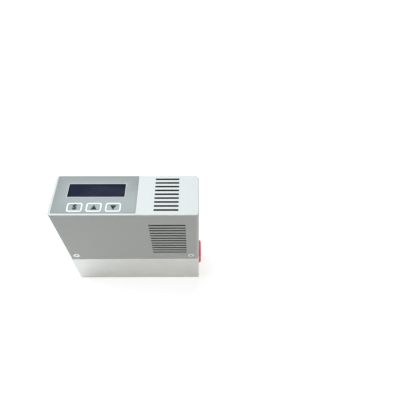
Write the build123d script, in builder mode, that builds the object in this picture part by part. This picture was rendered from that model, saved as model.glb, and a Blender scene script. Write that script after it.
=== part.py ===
from build123d import *
import os

# Thermal mass flow controller with a display, sizes in millimetres.
# The origin is the centre of the base's bottom face. X runs from the gas inlet to the outlet,
# -Y is the front and Z is up.

# Base: two blocks of square bar, bolted end to end
sensor_block_length = 46.0
valve_block_length = 37.0
body_width = 28.0
base_height = 28.0
base_edge = 0.4
seam_edge = 0.12

# Raised spigot on both blocks, which the cover slips over
spigot_height = 7.0
spigot_corner = 1.0
cover_fit = 0.15

# Sheet cover
cover_height = 51.0
cover_wall = 1.2
cover_corner = 2.0
cover_top_edge = 0.6
cover_lip_edge = 0.15
cover_lip_gap = 0.15

# Countersunk cover screws, two in the front and two in the back
cover_screw_diameter = 2.5
cover_screw_head = 4.4
cover_screw_length = 6.0
cover_screw_inset = 5.0
cover_screw_height = 4.7
cross_width = 0.6
cross_length = 2.2
cross_depth = 0.8

# Vent slots over and in front of the valve coil
vent_slot_width = 1.2
top_vent_length = 13.7
top_vent_pitch = 2.7
top_vent_count = 9
top_vent_y = 0.4
vent_shift = 0.2
side_vent_length = 21.1
side_vent_pitch = 2.86
side_vent_count = 12
side_vent_height = 25.0

# General clearances
slip = 0.05
running = 0.15
screw_clearance = 0.2

# Gas ports and passages
port_height = 12.5
port_diameter = 11.8
port_depth = 11.0
inlet_passage = 6.0
outlet_passage = 4.0
bypass_diameter = 10.0
bypass_end_space = 2.3
filter_thickness = 2.0

# Shipping plugs in the ports
plug_flange_diameter = 15.6
plug_flange_thickness = 1.5
plug_shank_length = 8.5
plug_shank_wall = 1.2
plug_edge = 0.4
plug_recess_diameter = 9.0
plug_recess_depth = 0.7

# Threaded holes in the bottom
mount_spacing = 50.0
mount_hole_diameter = 3.3
mount_hole_depth = 5.0

# Screws that join the two blocks, from the outlet end
block_screw_diameter = 3.0
block_screw_head = 5.5
block_screw_head_height = 3.0
block_screw_key = 2.5
block_screw_inset = 4.0
block_screw_grip = 6.0

# Flow element: a grooved plug that makes the bypass flow laminar
flow_element_tap_margin = 0.45
channel_count = 12
channel_width = 0.8
channel_depth = 1.0

# Flow sensor on the sensor block
sensor_seam_gap = 0.5
sensor_base_length = 29.0
sensor_base_width = 9.0
sensor_base_height = 4.0
sensor_port_inset = 1.5
sensor_tap = 1.5
sensor_screw_inset = 2.3
sensor_tube_diameter = 1.0
sensor_tube_bore = 0.6
sensor_tube_rise = 11.0
sensor_tube_seat = 2.0
sensor_tube_bend = 2.0
winding_diameter = 2.4
winding_bend_margin = 1.2
winding_gap = 1.0
sensor_shell_gap = 0.25
sensor_shell_width = 8.0
sensor_shell_height = 16.0
sensor_shell_wall = 0.8

# Small M2.5 socket screws, used on the sensor and the valve
small_screw_diameter = 2.5
small_screw_head = 4.5
small_screw_head_height = 2.5
small_screw_key = 2.0
small_screw_grip = 5.5

# Seals, squeezed flat in their grooves
seal_section = 1.1
seal_height = 0.9

# Valve: seat, plunger and guide tube
valve_inset = 18.4
chamber_diameter = 10.6
chamber_floor_rise = 4.5
seat_diameter = 7.0
seat_depth = 1.5
seat_rise = 4.0
seat_shoulder = 1.8
seat_lip_diameter = 3.0
orifice_diameter = 1.2
feed_passage = 3.0
feed_passage_rise = 2.0
sleeve_diameter = 10.0
sleeve_bore = 8.3
sleeve_flange_diameter = 15.0
sleeve_flange_thickness = 2.0
sleeve_guide_depth = 7.0
plunger_length = 27.0
plunger_disc_diameter = 5.0
plunger_disc_thickness = 1.5
plunger_disc_stand = 0.3
plunger_gap = 0.6
spring_wire = 0.5
spring_diameter = 4.0
spring_turns = 5.0
plunger_spring_pocket = 5.0
core_spring_pocket = 2.0
spring_pocket_clearance = 0.25
core_collar_thickness = 1.0
stud_diameter = 6.0

# Valve coil with its yoke
valve_plate_size = 22.0
valve_plate_thickness = 3.0
valve_screw_inset = 2.3
bobbin_height = 24.0
bobbin_screw_gap = 0.25
bobbin_flange_corner = 3.0
bobbin_flange_thickness = 1.2
bobbin_wall = 0.8
coil_winding_margin = 0.55
coil_terminal_size = 2.8
coil_terminal_height = 6.0
yoke_length = 23.0
yoke_width = 12.0
yoke_wall = 1.6
yoke_top_thickness = 2.5
coil_nut_width = 10.0
coil_nut_height = 4.0
lead_diameter = 0.8
lead_spacing = 2.5
lead_bend = 1.0
lead_end_inset = 3.0

# Circuit boards
board_thickness = 1.6
main_board_back_space = 3.2
main_board_height = 31.0
main_board_lift = 1.5
main_board_gap = 1.1

# Angle brackets that carry the main board
bracket_width = 4.6
bracket_height = 9.0
bracket_foot = 4.7
bracket_sheet = 0.8
bracket_screw_height = 5.5
bracket_screw_diameter = 2.0
bracket_screw_head = 3.8
bracket_screw_head_height = 1.3
bracket_screw_grip = 3.0
bracket_screw_back = 2.75
bracket_inset = 3.2

# Signal connector in the left end wall, a nine-way D-shaped plug
connector_height = 25.0
connector_flange_length = 30.8
connector_flange_width = 12.5
connector_flange_thickness = 0.8
connector_hole_spacing = 24.99
shroud_length = 16.92
shroud_width = 8.36
shroud_corner = 2.2
shroud_side_angle = 80.0
shroud_wall = 0.4
shroud_depth = 5.9
shroud_clearance = 0.3
insulator_length = 19.0
insulator_width = 10.4
insulator_depth = 5.3
insulator_face = 0.8
pin_diameter = 1.0
pin_pitch = 2.77
pin_row_spacing = 2.84
pin_setback = 0.8
pin_tail = 1.0
jack_thread_diameter = 2.84
jack_tapped_diameter = 2.26
jack_width = 4.8
jack_length = 5.2
jack_tapped_depth = 4.0
jack_shank_length = 4.5
jack_bush_diameter = 4.8
jack_bush_length = 2.5
connector_board_height = 28.0
connector_board_width = 16.0

# Display window and keys in the cover's top, measured from the left end
display_inset = 25.0
window_length = 32.3
window_width = 9.2
window_corner = 0.3
window_key_gap = 11.77
window_flange_margin = 1.5
window_flange_thickness = 1.0
key_front_inset = 5.2
key_pitch = 10.65
key_count = 3
key_ring_length = 8.5
key_ring_width = 5.9
key_ring_corner = 1.3
key_ring_band = 0.7
key_ring_height = 0.15
key_hole_diameter = 5.0

# Keypad film
film_thickness = 0.3
film_left_margin = 1.5
film_front_margin = 1.5
film_back_margin = 0.6
film_length = 46.6
film_corner = 0.3

# Display board, hung from the cover's top wall
display_board_length = 44.4
display_board_margin = 0.8
display_board_drop = 7.0
display_stud_diameter = 3.6
display_stud_inset = 2.3
display_screw_diameter = 2.0
display_screw_head = 3.8
display_screw_head_height = 1.3
display_screw_grip = 3.5
module_length = 34.0
module_width = 12.0
module_clearance = 0.2
module_edge = 0.4
switch_size = 6.0
switch_height = 3.5
switch_lid = 0.5
switch_well_depth = 2.0
stem_diameter = 3.5
stem_collar_diameter = 4.2
stem_collar_thickness = 0.6
stem_gap = 0.2

# Flexible links between the boards
link_width = 8.0
link_thickness = 0.3
link_bend = 2.0
socket_length = 10.0
socket_width = 3.0
socket_height = 2.0
display_link_inset = 10.25
display_link_y = 2.0
display_link_height = 34.5
sensor_link_height = 31.0
signal_link_height = 33.0
signal_link_y = 5.0
signal_link_inset = 5.5

# Larger components on the main board
processor_size = 9.0
processor_height = 1.4
driver_size = 6.0
driver_height = 1.8
capacitor_diameter = 4.0
capacitor_height = 4.5
component_row_height = 12.0
component_pitch = 11.0

# Places worked out from the sizes above
body_length = sensor_block_length + valve_block_length
left_end = -body_length / 2
right_end = body_length / 2
seam_x = left_end + sensor_block_length
front_y = -body_width / 2
back_y = body_width / 2
spigot_inset = cover_wall + cover_fit
spigot_top = base_height + spigot_height
cover_top = base_height + cover_height
ceiling = cover_top - cover_wall
film_top = cover_top + film_thickness
sensor_x = seam_x - sensor_seam_gap - sensor_base_length / 2
valve_x = right_end - valve_inset
display_x = left_end + display_inset
key_y = front_y + key_front_inset
window_y = key_y + window_key_gap
main_board_y = back_y - cover_wall - main_board_back_space
display_board_width = body_width - 2 * cover_wall - 2 * display_board_margin
display_stud_spacing_x = display_board_length - 2 * display_stud_inset
display_stud_spacing_y = display_board_width - 2 * display_stud_inset

# Planes that face out of each side, at the heights where holes start
inlet_mouth = Plane(origin=(left_end, 0, port_height), x_dir=(0, -1, 0), z_dir=(-1, 0, 0))
outlet_mouth = Plane(origin=(right_end, 0, port_height), x_dir=(0, 1, 0), z_dir=(1, 0, 0))
seam_facing_out = Plane(origin=(seam_x, 0, port_height), x_dir=(0, 1, 0), z_dir=(1, 0, 0))
outlet_end_middle = Plane(origin=(right_end, 0, base_height / 2), x_dir=(0, 1, 0), z_dir=(1, 0, 0))
seam_middle = Plane(origin=(seam_x, 0, base_height / 2), x_dir=(0, 1, 0), z_dir=(1, 0, 0))
connector_z = base_height + connector_height
connector_wall = Plane(origin=(left_end, 0, connector_z), x_dir=(0, 0, 1), z_dir=(-1, 0, 0))
connector_inside = connector_wall.offset(-cover_wall)

block_screw_grid = (body_width - 2 * block_screw_inset, base_height - 2 * block_screw_inset)
cover_screw_z = base_height + cover_screw_height
cover_screw_xs = (left_end + cover_screw_inset, right_end - cover_screw_inset)
cover_screw_seats = [
    Plane(origin=(x, y, cover_screw_z), x_dir=(1, 0, 0), z_dir=(0, side, 0))
    for x in cover_screw_xs
    for y, side in ((front_y, -1), (back_y, 1))
]

os.makedirs("parts", exist_ok=True)


def socket_screw(diameter, length, head_diameter, head_height, key_width):
    """A socket head screw with the underside of its head at the origin and its shank down -Z."""
    with BuildPart() as screw:
        Cylinder(head_diameter / 2, head_height, align=(Align.CENTER, Align.CENTER, Align.MIN))
        Cylinder(diameter / 2, length, align=(Align.CENTER, Align.CENTER, Align.MAX))
        with BuildSketch(Plane.XY.offset(head_height)):
            RegularPolygon(key_width / 2, 6, major_radius=False)
        extrude(amount=-head_height / 2, mode=Mode.SUBTRACT)
    return screw.part


def seal_ring(inner_diameter):
    """A seal ring squeezed flat in its groove, with its upper face on the XY plane."""
    with BuildPart() as ring:
        with BuildSketch(Plane.XY):
            Circle(inner_diameter / 2 + seal_section)
            Circle(inner_diameter / 2, mode=Mode.SUBTRACT)
        extrude(amount=-seal_height)
    return ring.part


def seal_groove(inner_diameter):
    """The groove of a seal ring, cut down from the XY plane."""
    with BuildPart() as groove:
        with BuildSketch(Plane.XY):
            Circle(inner_diameter / 2 + seal_section + slip)
            Circle(inner_diameter / 2 - slip, mode=Mode.SUBTRACT)
        extrude(amount=-seal_height)
    return groove.part


def d_outline(growth):
    """The outline of the signal plug's shroud, grown outwards by the given amount."""
    with BuildSketch() as outline:
        Trapezoid(shroud_length, shroud_width, shroud_side_angle)
        fillet(outline.vertices(), shroud_corner)
        offset(amount=growth)
    return outline.sketch


def shipping_plug(mouth):
    """A moulded plug: flat flange outside the port and a hollow shank, closed outwards, in it."""
    with BuildPart() as plug:
        with BuildSketch(mouth):
            Circle(plug_flange_diameter / 2)
        extrude(amount=plug_flange_thickness)
        rim = plug.edges().filter_by(GeomType.CIRCLE).sort_by(lambda edge: abs(edge.center().X))
        fillet(rim[-1], plug_edge)
        with BuildSketch(mouth.offset(plug_flange_thickness)):
            Circle(plug_recess_diameter / 2)
        extrude(amount=-plug_recess_depth, mode=Mode.SUBTRACT)
        with BuildSketch(mouth):
            Circle(port_diameter / 2 - slip)
            Circle(port_diameter / 2 - slip - plug_shank_wall, mode=Mode.SUBTRACT)
        extrude(amount=-plug_shank_length)
    return plug.part


def flexible_link(plane, points):
    """A flat strip swept along a bent route in the given plane, with its width across it."""
    with BuildPart() as link:
        with BuildLine(plane) as route:
            FilletPolyline(*points, radius=link_bend)
        start = Plane(origin=route.line @ 0, x_dir=plane.z_dir, z_dir=route.line % 0)
        with BuildSketch(start):
            Rectangle(link_width, link_thickness)
        sweep()
    return link.part


# Flow sensor, laid out from its base inwards
sensor_screw_spacing = sensor_base_length - 2 * sensor_screw_inset
sensor_shell_length = sensor_screw_spacing - small_screw_head - 2 * sensor_shell_gap
sensor_port_spacing = sensor_shell_length - 2 * sensor_port_inset
sensor_tube_straight = sensor_port_spacing - 2 * sensor_tube_bend
winding_length = (sensor_tube_straight - winding_gap) / 2 - winding_bend_margin
flow_element_length = sensor_port_spacing - sensor_tap - 2 * flow_element_tap_margin

# Gas path through the base
port_bottom_in = inlet_mouth.offset(-port_depth)
port_bottom_out = outlet_mouth.offset(-port_depth)
bypass_depth = seam_x - sensor_x + sensor_port_spacing / 2 + bypass_end_space
inlet_passage_length = sensor_block_length - port_depth - bypass_depth
outlet_passage_length = valve_inset - port_depth
chamber_floor = port_height + chamber_floor_rise
seat_floor = chamber_floor - seat_depth
seat_top = chamber_floor + seat_rise
block_seal_diameter = bypass_diameter + 1.0
sensor_seal_diameter = sensor_tap + 1.0
sleeve_seal_diameter = chamber_diameter + 0.6
block_groove = seal_groove(block_seal_diameter)
sensor_groove = seal_groove(sensor_seal_diameter)
sleeve_groove = seal_groove(sleeve_seal_diameter)

# Stack of the valve above the base
valve_screw_spacing = valve_plate_size - 2 * valve_screw_inset
valve_screw_circle = valve_screw_spacing * 2 ** 0.5
bobbin_flange_diameter = valve_screw_circle - small_screw_head - 2 * bobbin_screw_gap
sleeve_flange_floor = spigot_top - sleeve_flange_thickness
valve_plate_top = spigot_top + valve_plate_thickness
bobbin_top = valve_plate_top + bobbin_height
sleeve_top = bobbin_top - core_collar_thickness - running
yoke_top = bobbin_top + yoke_top_thickness

# Boards and brackets
connector_back = connector_inside.offset(-connector_flange_thickness - insulator_depth)
connector_board_back = connector_back.offset(-board_thickness)
main_board_left = connector_board_back.origin.X + main_board_gap
main_board_right = valve_x - yoke_length / 2 - main_board_gap
main_board_length = main_board_right - main_board_left
main_board_middle = (main_board_left + main_board_right) / 2
main_board_bottom = spigot_top + main_board_lift
main_board_face = Plane(
    origin=(main_board_middle, main_board_y, main_board_bottom), x_dir=(1, 0, 0), z_dir=(0, -1, 0)
)
bracket_xs = (main_board_left + bracket_inset, main_board_right - bracket_inset)
bracket_foot_y = main_board_y - bracket_screw_back
display_board_top = ceiling - display_board_drop
display_board_bottom = display_board_top - board_thickness
display_link_x = main_board_right - display_link_inset

# Sensor block: port, filter seat, bypass bore and two taps up to the sensor
with BuildPart() as sensor_block:
    with BuildSketch(Plane.XY):
        with Locations((left_end, 0)):
            Rectangle(sensor_block_length, body_width, align=(Align.MIN, Align.CENTER))
    extrude(amount=base_height)
    seam_edges = sensor_block.faces().sort_by(Axis.X)[-1].edges()
    chamfer(sensor_block.edges() - seam_edges, base_edge)
    chamfer(sensor_block.faces().sort_by(Axis.X)[-1].edges().sort_by(Axis.Z)[:-1], seam_edge)
    with BuildSketch(Plane.XY.offset(base_height)) as spigot_outline:
        with Locations((left_end + spigot_inset, 0)):
            Rectangle(
                sensor_block_length - spigot_inset,
                body_width - 2 * spigot_inset,
                align=(Align.MIN, Align.CENTER),
            )
        fillet(spigot_outline.vertices().group_by(Axis.X)[0], spigot_corner)
    extrude(amount=spigot_height)
    with Locations(inlet_mouth):
        Hole(port_diameter / 2, depth=port_depth)
    with Locations(port_bottom_in):
        Hole(inlet_passage / 2, depth=inlet_passage_length)
    with Locations(seam_facing_out):
        Hole(bypass_diameter / 2, depth=bypass_depth)
        add(block_groove, mode=Mode.SUBTRACT)
    with Locations(seam_middle):
        with GridLocations(*block_screw_grid, 2, 2):
            Hole(block_screw_diameter / 2 + slip, depth=block_screw_grip + screw_clearance)
    with Locations((sensor_x, 0, spigot_top)):
        with GridLocations(sensor_port_spacing, 0, 2, 1):
            Hole(sensor_tap / 2, depth=spigot_top - port_height)
            add(sensor_groove, mode=Mode.SUBTRACT)
        with GridLocations(sensor_screw_spacing, 0, 2, 1):
            Hole(small_screw_diameter / 2 + slip, depth=small_screw_grip + screw_clearance)
    with Locations((bracket_xs[0], bracket_foot_y, spigot_top)):
        Hole(bracket_screw_diameter / 2 + slip, depth=bracket_screw_grip + screw_clearance)
    with Locations((-mount_spacing / 2, 0, mount_hole_depth)):
        Hole(mount_hole_diameter / 2, depth=mount_hole_depth)
    with Locations([seat for seat in cover_screw_seats if seat.origin.X < seam_x]):
        Hole(cover_screw_diameter / 2 + slip, depth=cover_screw_length + screw_clearance)
sensor_block.part.label = "sensor_block"
export_step(sensor_block.part, "parts/sensor_block.step")

# Valve block: slanted feed into the valve chamber, seat bore and outlet port
feed_start = Vector(seam_x, 0, port_height)
feed_end = Vector(valve_x - chamber_diameter / 2, 0, chamber_floor + feed_passage_rise)
feed_direction = (feed_end - feed_start).normalized()
feed_mouth = Plane(origin=feed_start - feed_direction * feed_passage, z_dir=-feed_direction)
feed_length = (feed_end - feed_start).length + 2 * feed_passage

with BuildPart() as valve_block:
    with BuildSketch(Plane.XY):
        with Locations((right_end, 0)):
            Rectangle(valve_block_length, body_width, align=(Align.MAX, Align.CENTER))
    extrude(amount=base_height)
    seam_edges = valve_block.faces().sort_by(Axis.X)[0].edges()
    chamfer(valve_block.edges() - seam_edges, base_edge)
    chamfer(valve_block.faces().sort_by(Axis.X)[0].edges().sort_by(Axis.Z)[:-1], seam_edge)
    with BuildSketch(Plane.XY.offset(base_height)) as spigot_outline:
        with Locations((right_end - spigot_inset, 0)):
            Rectangle(
                valve_block_length - spigot_inset,
                body_width - 2 * spigot_inset,
                align=(Align.MAX, Align.CENTER),
            )
        fillet(spigot_outline.vertices().group_by(Axis.X)[-1], spigot_corner)
    extrude(amount=spigot_height)
    with Locations(outlet_mouth):
        Hole(port_diameter / 2, depth=port_depth)
    with Locations(port_bottom_out):
        Hole(outlet_passage / 2, depth=outlet_passage_length + outlet_passage / 2)
    with Locations((valve_x, 0, spigot_top)):
        CounterBoreHole(
            radius=chamber_diameter / 2,
            counter_bore_radius=sleeve_flange_diameter / 2 + slip,
            counter_bore_depth=sleeve_flange_thickness,
            depth=spigot_top - chamber_floor,
        )
    with Locations((valve_x, 0, sleeve_flange_floor)):
        add(sleeve_groove, mode=Mode.SUBTRACT)
    with Locations((valve_x, 0, chamber_floor)):
        CounterBoreHole(
            radius=outlet_passage / 2,
            counter_bore_radius=seat_diameter / 2 + slip,
            counter_bore_depth=seat_depth,
            depth=chamber_floor - port_height,
        )
    with Locations(feed_mouth):
        Hole(feed_passage / 2, depth=feed_length)
    with Locations((valve_x, 0, spigot_top)):
        with GridLocations(valve_screw_spacing, valve_screw_spacing, 2, 2):
            Hole(small_screw_diameter / 2 + slip, depth=small_screw_grip + screw_clearance)
    with Locations(outlet_end_middle):
        with GridLocations(*block_screw_grid, 2, 2):
            CounterBoreHole(
                radius=block_screw_diameter / 2 + screw_clearance,
                counter_bore_radius=block_screw_head / 2 + screw_clearance,
                counter_bore_depth=block_screw_head_height + screw_clearance,
                depth=valve_block_length,
            )
    with Locations((bracket_xs[1], bracket_foot_y, spigot_top)):
        Hole(bracket_screw_diameter / 2 + slip, depth=bracket_screw_grip + screw_clearance)
    with Locations((mount_spacing / 2, 0, mount_hole_depth)):
        Hole(mount_hole_diameter / 2, depth=mount_hole_depth)
    with Locations([seat for seat in cover_screw_seats if seat.origin.X > seam_x]):
        Hole(cover_screw_diameter / 2 + slip, depth=cover_screw_length + screw_clearance)
valve_block.part.label = "valve_block"
export_step(valve_block.part, "parts/valve_block.step")

# Seals between the blocks and under the sensor and the valve
with BuildPart() as block_seal:
    with Locations(seam_facing_out):
        add(seal_ring(block_seal_diameter))
block_seal.part.label = "block_seal"
export_step(block_seal.part, "parts/block_seal.step")

with BuildPart() as sensor_seals:
    with Locations((sensor_x, 0, spigot_top)):
        with GridLocations(sensor_port_spacing, 0, 2, 1):
            add(seal_ring(sensor_seal_diameter))
sensor_seals.part.label = "sensor_seals"
export_step(sensor_seals.part, "parts/sensor_seals.step")

with BuildPart() as sleeve_seal:
    with Locations((valve_x, 0, sleeve_flange_floor)):
        add(seal_ring(sleeve_seal_diameter))
sleeve_seal.part.label = "sleeve_seal"
export_step(sleeve_seal.part, "parts/sleeve_seal.step")

# Four long socket screws that pull the two blocks together
block_screw_recess = block_screw_head_height + screw_clearance
block_screw = socket_screw(
    block_screw_diameter,
    valve_block_length - block_screw_recess + block_screw_grip,
    block_screw_head,
    block_screw_head_height,
    block_screw_key,
)
with BuildPart() as block_screws:
    with Locations(outlet_end_middle.offset(-block_screw_recess)):
        with GridLocations(*block_screw_grid, 2, 2):
            add(block_screw)
block_screws.part.label = "block_screws"
export_step(block_screws.part, "parts/block_screws.step")

# Sintered filter disc at the bottom of the inlet port
with BuildPart() as inlet_filter:
    with BuildSketch(port_bottom_in):
        Circle(port_diameter / 2 - slip)
    extrude(amount=filter_thickness)
inlet_filter.part.label = "inlet_filter"
export_step(inlet_filter.part, "parts/inlet_filter.step")

# Laminar flow element, pressed into the bypass bore between the two taps
with BuildPart() as flow_element:
    with BuildSketch(Plane.YZ.offset(sensor_x - flow_element_length / 2)):
        with Locations((0, port_height)):
            Circle(bypass_diameter / 2 - slip)
            with PolarLocations(bypass_diameter / 2, channel_count):
                Rectangle(2 * channel_depth, channel_width, mode=Mode.SUBTRACT)
    extrude(amount=flow_element_length)
flow_element.part.label = "flow_element"
export_step(flow_element.part, "parts/flow_element.step")

# Shipping plugs in both ports
inlet_plug = shipping_plug(inlet_mouth)
inlet_plug.label = "inlet_plug"
export_step(inlet_plug, "parts/inlet_plug.step")
outlet_plug = shipping_plug(outlet_mouth)
outlet_plug.label = "outlet_plug"
export_step(outlet_plug, "parts/outlet_plug.step")

# Flow sensor: base, capillary tube with two windings, and a shell over them
sensor_base_top = spigot_top + sensor_base_height
with BuildPart() as sensor_base:
    with BuildSketch(Plane.XY.offset(spigot_top)):
        with Locations((sensor_x, 0)):
            Rectangle(sensor_base_length, sensor_base_width)
    extrude(amount=sensor_base_height)
    chamfer(sensor_base.edges().filter_by(Axis.Z), base_edge)
    with Locations((sensor_x, 0, sensor_base_top)):
        with GridLocations(sensor_screw_spacing, 0, 2, 1):
            Hole(small_screw_diameter / 2 + screw_clearance, depth=sensor_base_height)
        with GridLocations(sensor_port_spacing, 0, 2, 1):
            CounterBoreHole(
                radius=sensor_tube_bore / 2,
                counter_bore_radius=sensor_tube_diameter / 2 + slip,
                counter_bore_depth=sensor_tube_seat,
                depth=sensor_base_height,
            )
sensor_base.part.label = "sensor_base"
export_step(sensor_base.part, "parts/sensor_base.step")

sensor_tube_foot = sensor_base_top - sensor_tube_seat
sensor_tube_top = sensor_base_top + sensor_tube_rise
sensor_tube_left = sensor_x - sensor_port_spacing / 2
sensor_tube_right = sensor_x + sensor_port_spacing / 2
with BuildPart() as sensor_tube:
    with BuildLine(Plane.XZ) as tube_route:
        FilletPolyline(
            (sensor_tube_left, sensor_tube_foot),
            (sensor_tube_left, sensor_tube_top),
            (sensor_tube_right, sensor_tube_top),
            (sensor_tube_right, sensor_tube_foot),
            radius=sensor_tube_bend,
        )
    with BuildSketch(Plane(origin=tube_route.line @ 0, z_dir=tube_route.line % 0)):
        Circle(sensor_tube_diameter / 2)
        Circle(sensor_tube_bore / 2, mode=Mode.SUBTRACT)
    sweep()
sensor_tube.part.label = "sensor_tube"
export_step(sensor_tube.part, "parts/sensor_tube.step")

winding_offset = (winding_length + winding_gap) / 2
with BuildPart() as sensor_windings:
    for winding_x in (sensor_x - winding_offset, sensor_x + winding_offset):
        with BuildSketch(Plane.YZ.offset(winding_x - winding_length / 2)):
            with Locations((0, sensor_tube_top)):
                Circle(winding_diameter / 2)
                Circle(sensor_tube_diameter / 2 + slip, mode=Mode.SUBTRACT)
        extrude(amount=winding_length)
sensor_windings.part.label = "sensor_windings"
export_step(sensor_windings.part, "parts/sensor_windings.step")

sensor_shell_top = sensor_base_top + sensor_shell_height
with BuildPart() as sensor_shell:
    with BuildSketch(Plane.XY.offset(sensor_base_top)):
        with Locations((sensor_x, 0)):
            Rectangle(sensor_shell_length, sensor_shell_width)
    extrude(amount=sensor_shell_height)
    fillet(sensor_shell.edges().filter_by(Axis.Z), sensor_shell_wall)
    with BuildSketch(Plane.XY.offset(sensor_base_top)):
        with Locations((sensor_x, 0)):
            Rectangle(
                sensor_shell_length - 2 * sensor_shell_wall,
                sensor_shell_width - 2 * sensor_shell_wall,
            )
    extrude(amount=sensor_shell_height - sensor_shell_wall, mode=Mode.SUBTRACT)
sensor_shell.part.label = "sensor_shell"
export_step(sensor_shell.part, "parts/sensor_shell.step")

sensor_screw = socket_screw(
    small_screw_diameter,
    sensor_base_height + small_screw_grip,
    small_screw_head,
    small_screw_head_height,
    small_screw_key,
)
with BuildPart() as sensor_screws:
    with Locations((sensor_x, 0, sensor_base_top)):
        with GridLocations(sensor_screw_spacing, 0, 2, 1):
            add(sensor_screw)
sensor_screws.part.label = "sensor_screws"
export_step(sensor_screws.part, "parts/sensor_screws.step")

# Valve seat with its orifice, standing in the chamber floor
seat_body_height = seat_depth + seat_shoulder
with BuildPart() as valve_seat:
    with BuildSketch(Plane.XY.offset(seat_floor)):
        with Locations((valve_x, 0)):
            Circle(seat_diameter / 2)
    extrude(amount=seat_body_height)
    with BuildSketch(Plane.XY.offset(seat_floor + seat_body_height)):
        with Locations((valve_x, 0)):
            Circle(seat_diameter / 2)
    with BuildSketch(Plane.XY.offset(seat_top)):
        with Locations((valve_x, 0)):
            Circle(seat_lip_diameter / 2)
    loft()
    with Locations((valve_x, 0, seat_top)):
        Hole(orifice_diameter / 2, depth=seat_top - seat_floor)
valve_seat.part.label = "valve_seat"
export_step(valve_seat.part, "parts/valve_seat.step")

# Guide tube with its flange, closed at the top by the fixed core
with BuildPart() as valve_sleeve:
    with Locations((valve_x, 0, sleeve_flange_floor)):
        Cylinder(
            sleeve_flange_diameter / 2,
            sleeve_flange_thickness,
            align=(Align.CENTER, Align.CENTER, Align.MIN),
        )
    with BuildSketch(Plane.XY.offset(sleeve_flange_floor - sleeve_guide_depth)):
        with Locations((valve_x, 0)):
            Circle(sleeve_diameter / 2)
    extrude(amount=sleeve_top - sleeve_flange_floor + sleeve_guide_depth)
    with Locations((valve_x, 0, sleeve_top)):
        Hole(sleeve_bore / 2, depth=sleeve_top - sleeve_flange_floor + sleeve_guide_depth)
valve_sleeve.part.label = "valve_sleeve"
export_step(valve_sleeve.part, "parts/valve_sleeve.step")

# Plunger that slides in the guide tube, with a soft disc that closes the seat
plunger_radius = sleeve_bore / 2 - running
plunger_bottom = seat_top + plunger_disc_stand
plunger_top = plunger_bottom + plunger_length
disc_pocket_depth = plunger_disc_thickness - plunger_disc_stand
spring_pocket_radius = spring_diameter / 2 + spring_pocket_clearance
with BuildPart() as valve_plunger:
    with BuildSketch(Plane.XY.offset(plunger_bottom)):
        with Locations((valve_x, 0)):
            Circle(plunger_radius)
    extrude(amount=plunger_length)
    with Locations((valve_x, 0, plunger_top)):
        Hole(spring_pocket_radius, depth=plunger_spring_pocket)
    with Locations((valve_x, 0, plunger_bottom + disc_pocket_depth)):
        Hole(plunger_disc_diameter / 2 + slip, depth=disc_pocket_depth)
valve_plunger.part.label = "valve_plunger"
export_step(valve_plunger.part, "parts/valve_plunger.step")

with BuildPart() as plunger_disc:
    with BuildSketch(Plane.XY.offset(seat_top)):
        with Locations((valve_x, 0)):
            Circle(plunger_disc_diameter / 2)
    extrude(amount=plunger_disc_thickness)
plunger_disc.part.label = "plunger_disc"
export_step(plunger_disc.part, "parts/plunger_disc.step")

# Fixed core: it stops the plunger, closes the guide tube and carries the stud for the coil nut
core_bottom = plunger_top + plunger_gap
stud_top = yoke_top + coil_nut_height
with BuildPart() as valve_core:
    with BuildSketch(Plane.XY.offset(core_bottom)):
        with Locations((valve_x, 0)):
            Circle(sleeve_bore / 2 - slip)
    extrude(amount=sleeve_top - core_bottom)
    with BuildSketch(Plane.XY.offset(sleeve_top)):
        with Locations((valve_x, 0)):
            Circle(sleeve_diameter / 2)
    extrude(amount=core_collar_thickness)
    with BuildSketch(Plane.XY.offset(sleeve_top + core_collar_thickness)):
        with Locations((valve_x, 0)):
            Circle(stud_diameter / 2)
    extrude(amount=stud_top - sleeve_top - core_collar_thickness)
    with Locations((valve_x, 0, core_bottom + core_spring_pocket)):
        Hole(spring_pocket_radius, depth=core_spring_pocket)
valve_core.part.label = "valve_core"
export_step(valve_core.part, "parts/valve_core.step")

# Closing spring between the plunger's pocket and the core's pocket
spring_foot = plunger_top - plunger_spring_pocket
spring_head = core_bottom + core_spring_pocket
spring_travel = spring_head - spring_foot - spring_wire
spring_radius = (spring_diameter - spring_wire) / 2
with BuildPart() as valve_spring:
    with BuildLine(Plane((valve_x, 0, spring_foot + spring_wire / 2))) as coil_route:
        Helix(pitch=spring_travel / spring_turns, height=spring_travel, radius=spring_radius)
    with BuildSketch(Plane(origin=coil_route.line @ 0, z_dir=coil_route.line % 0)):
        Circle(spring_wire / 2 - slip)
    sweep(is_frenet=True)
valve_spring.part.label = "valve_spring"
export_step(valve_spring.part, "parts/valve_spring.step")

# Clamp plate over the guide tube's flange, with its four screws
with BuildPart() as valve_plate:
    with BuildSketch(Plane.XY.offset(spigot_top)):
        with Locations((valve_x, 0)):
            RectangleRounded(valve_plate_size, valve_plate_size, spigot_corner)
            Circle(sleeve_diameter / 2 + slip, mode=Mode.SUBTRACT)
            with GridLocations(valve_screw_spacing, valve_screw_spacing, 2, 2):
                Circle(small_screw_diameter / 2 + screw_clearance, mode=Mode.SUBTRACT)
    extrude(amount=valve_plate_thickness)
valve_plate.part.label = "valve_plate"
export_step(valve_plate.part, "parts/valve_plate.step")

valve_screw = socket_screw(
    small_screw_diameter,
    valve_plate_thickness + small_screw_grip,
    small_screw_head,
    small_screw_head_height,
    small_screw_key,
)
with BuildPart() as valve_screws:
    with Locations((valve_x, 0, valve_plate_top)):
        with GridLocations(valve_screw_spacing, valve_screw_spacing, 2, 2):
            add(valve_screw)
valve_screws.part.label = "valve_screws"
export_step(valve_screws.part, "parts/valve_screws.step")

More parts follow.
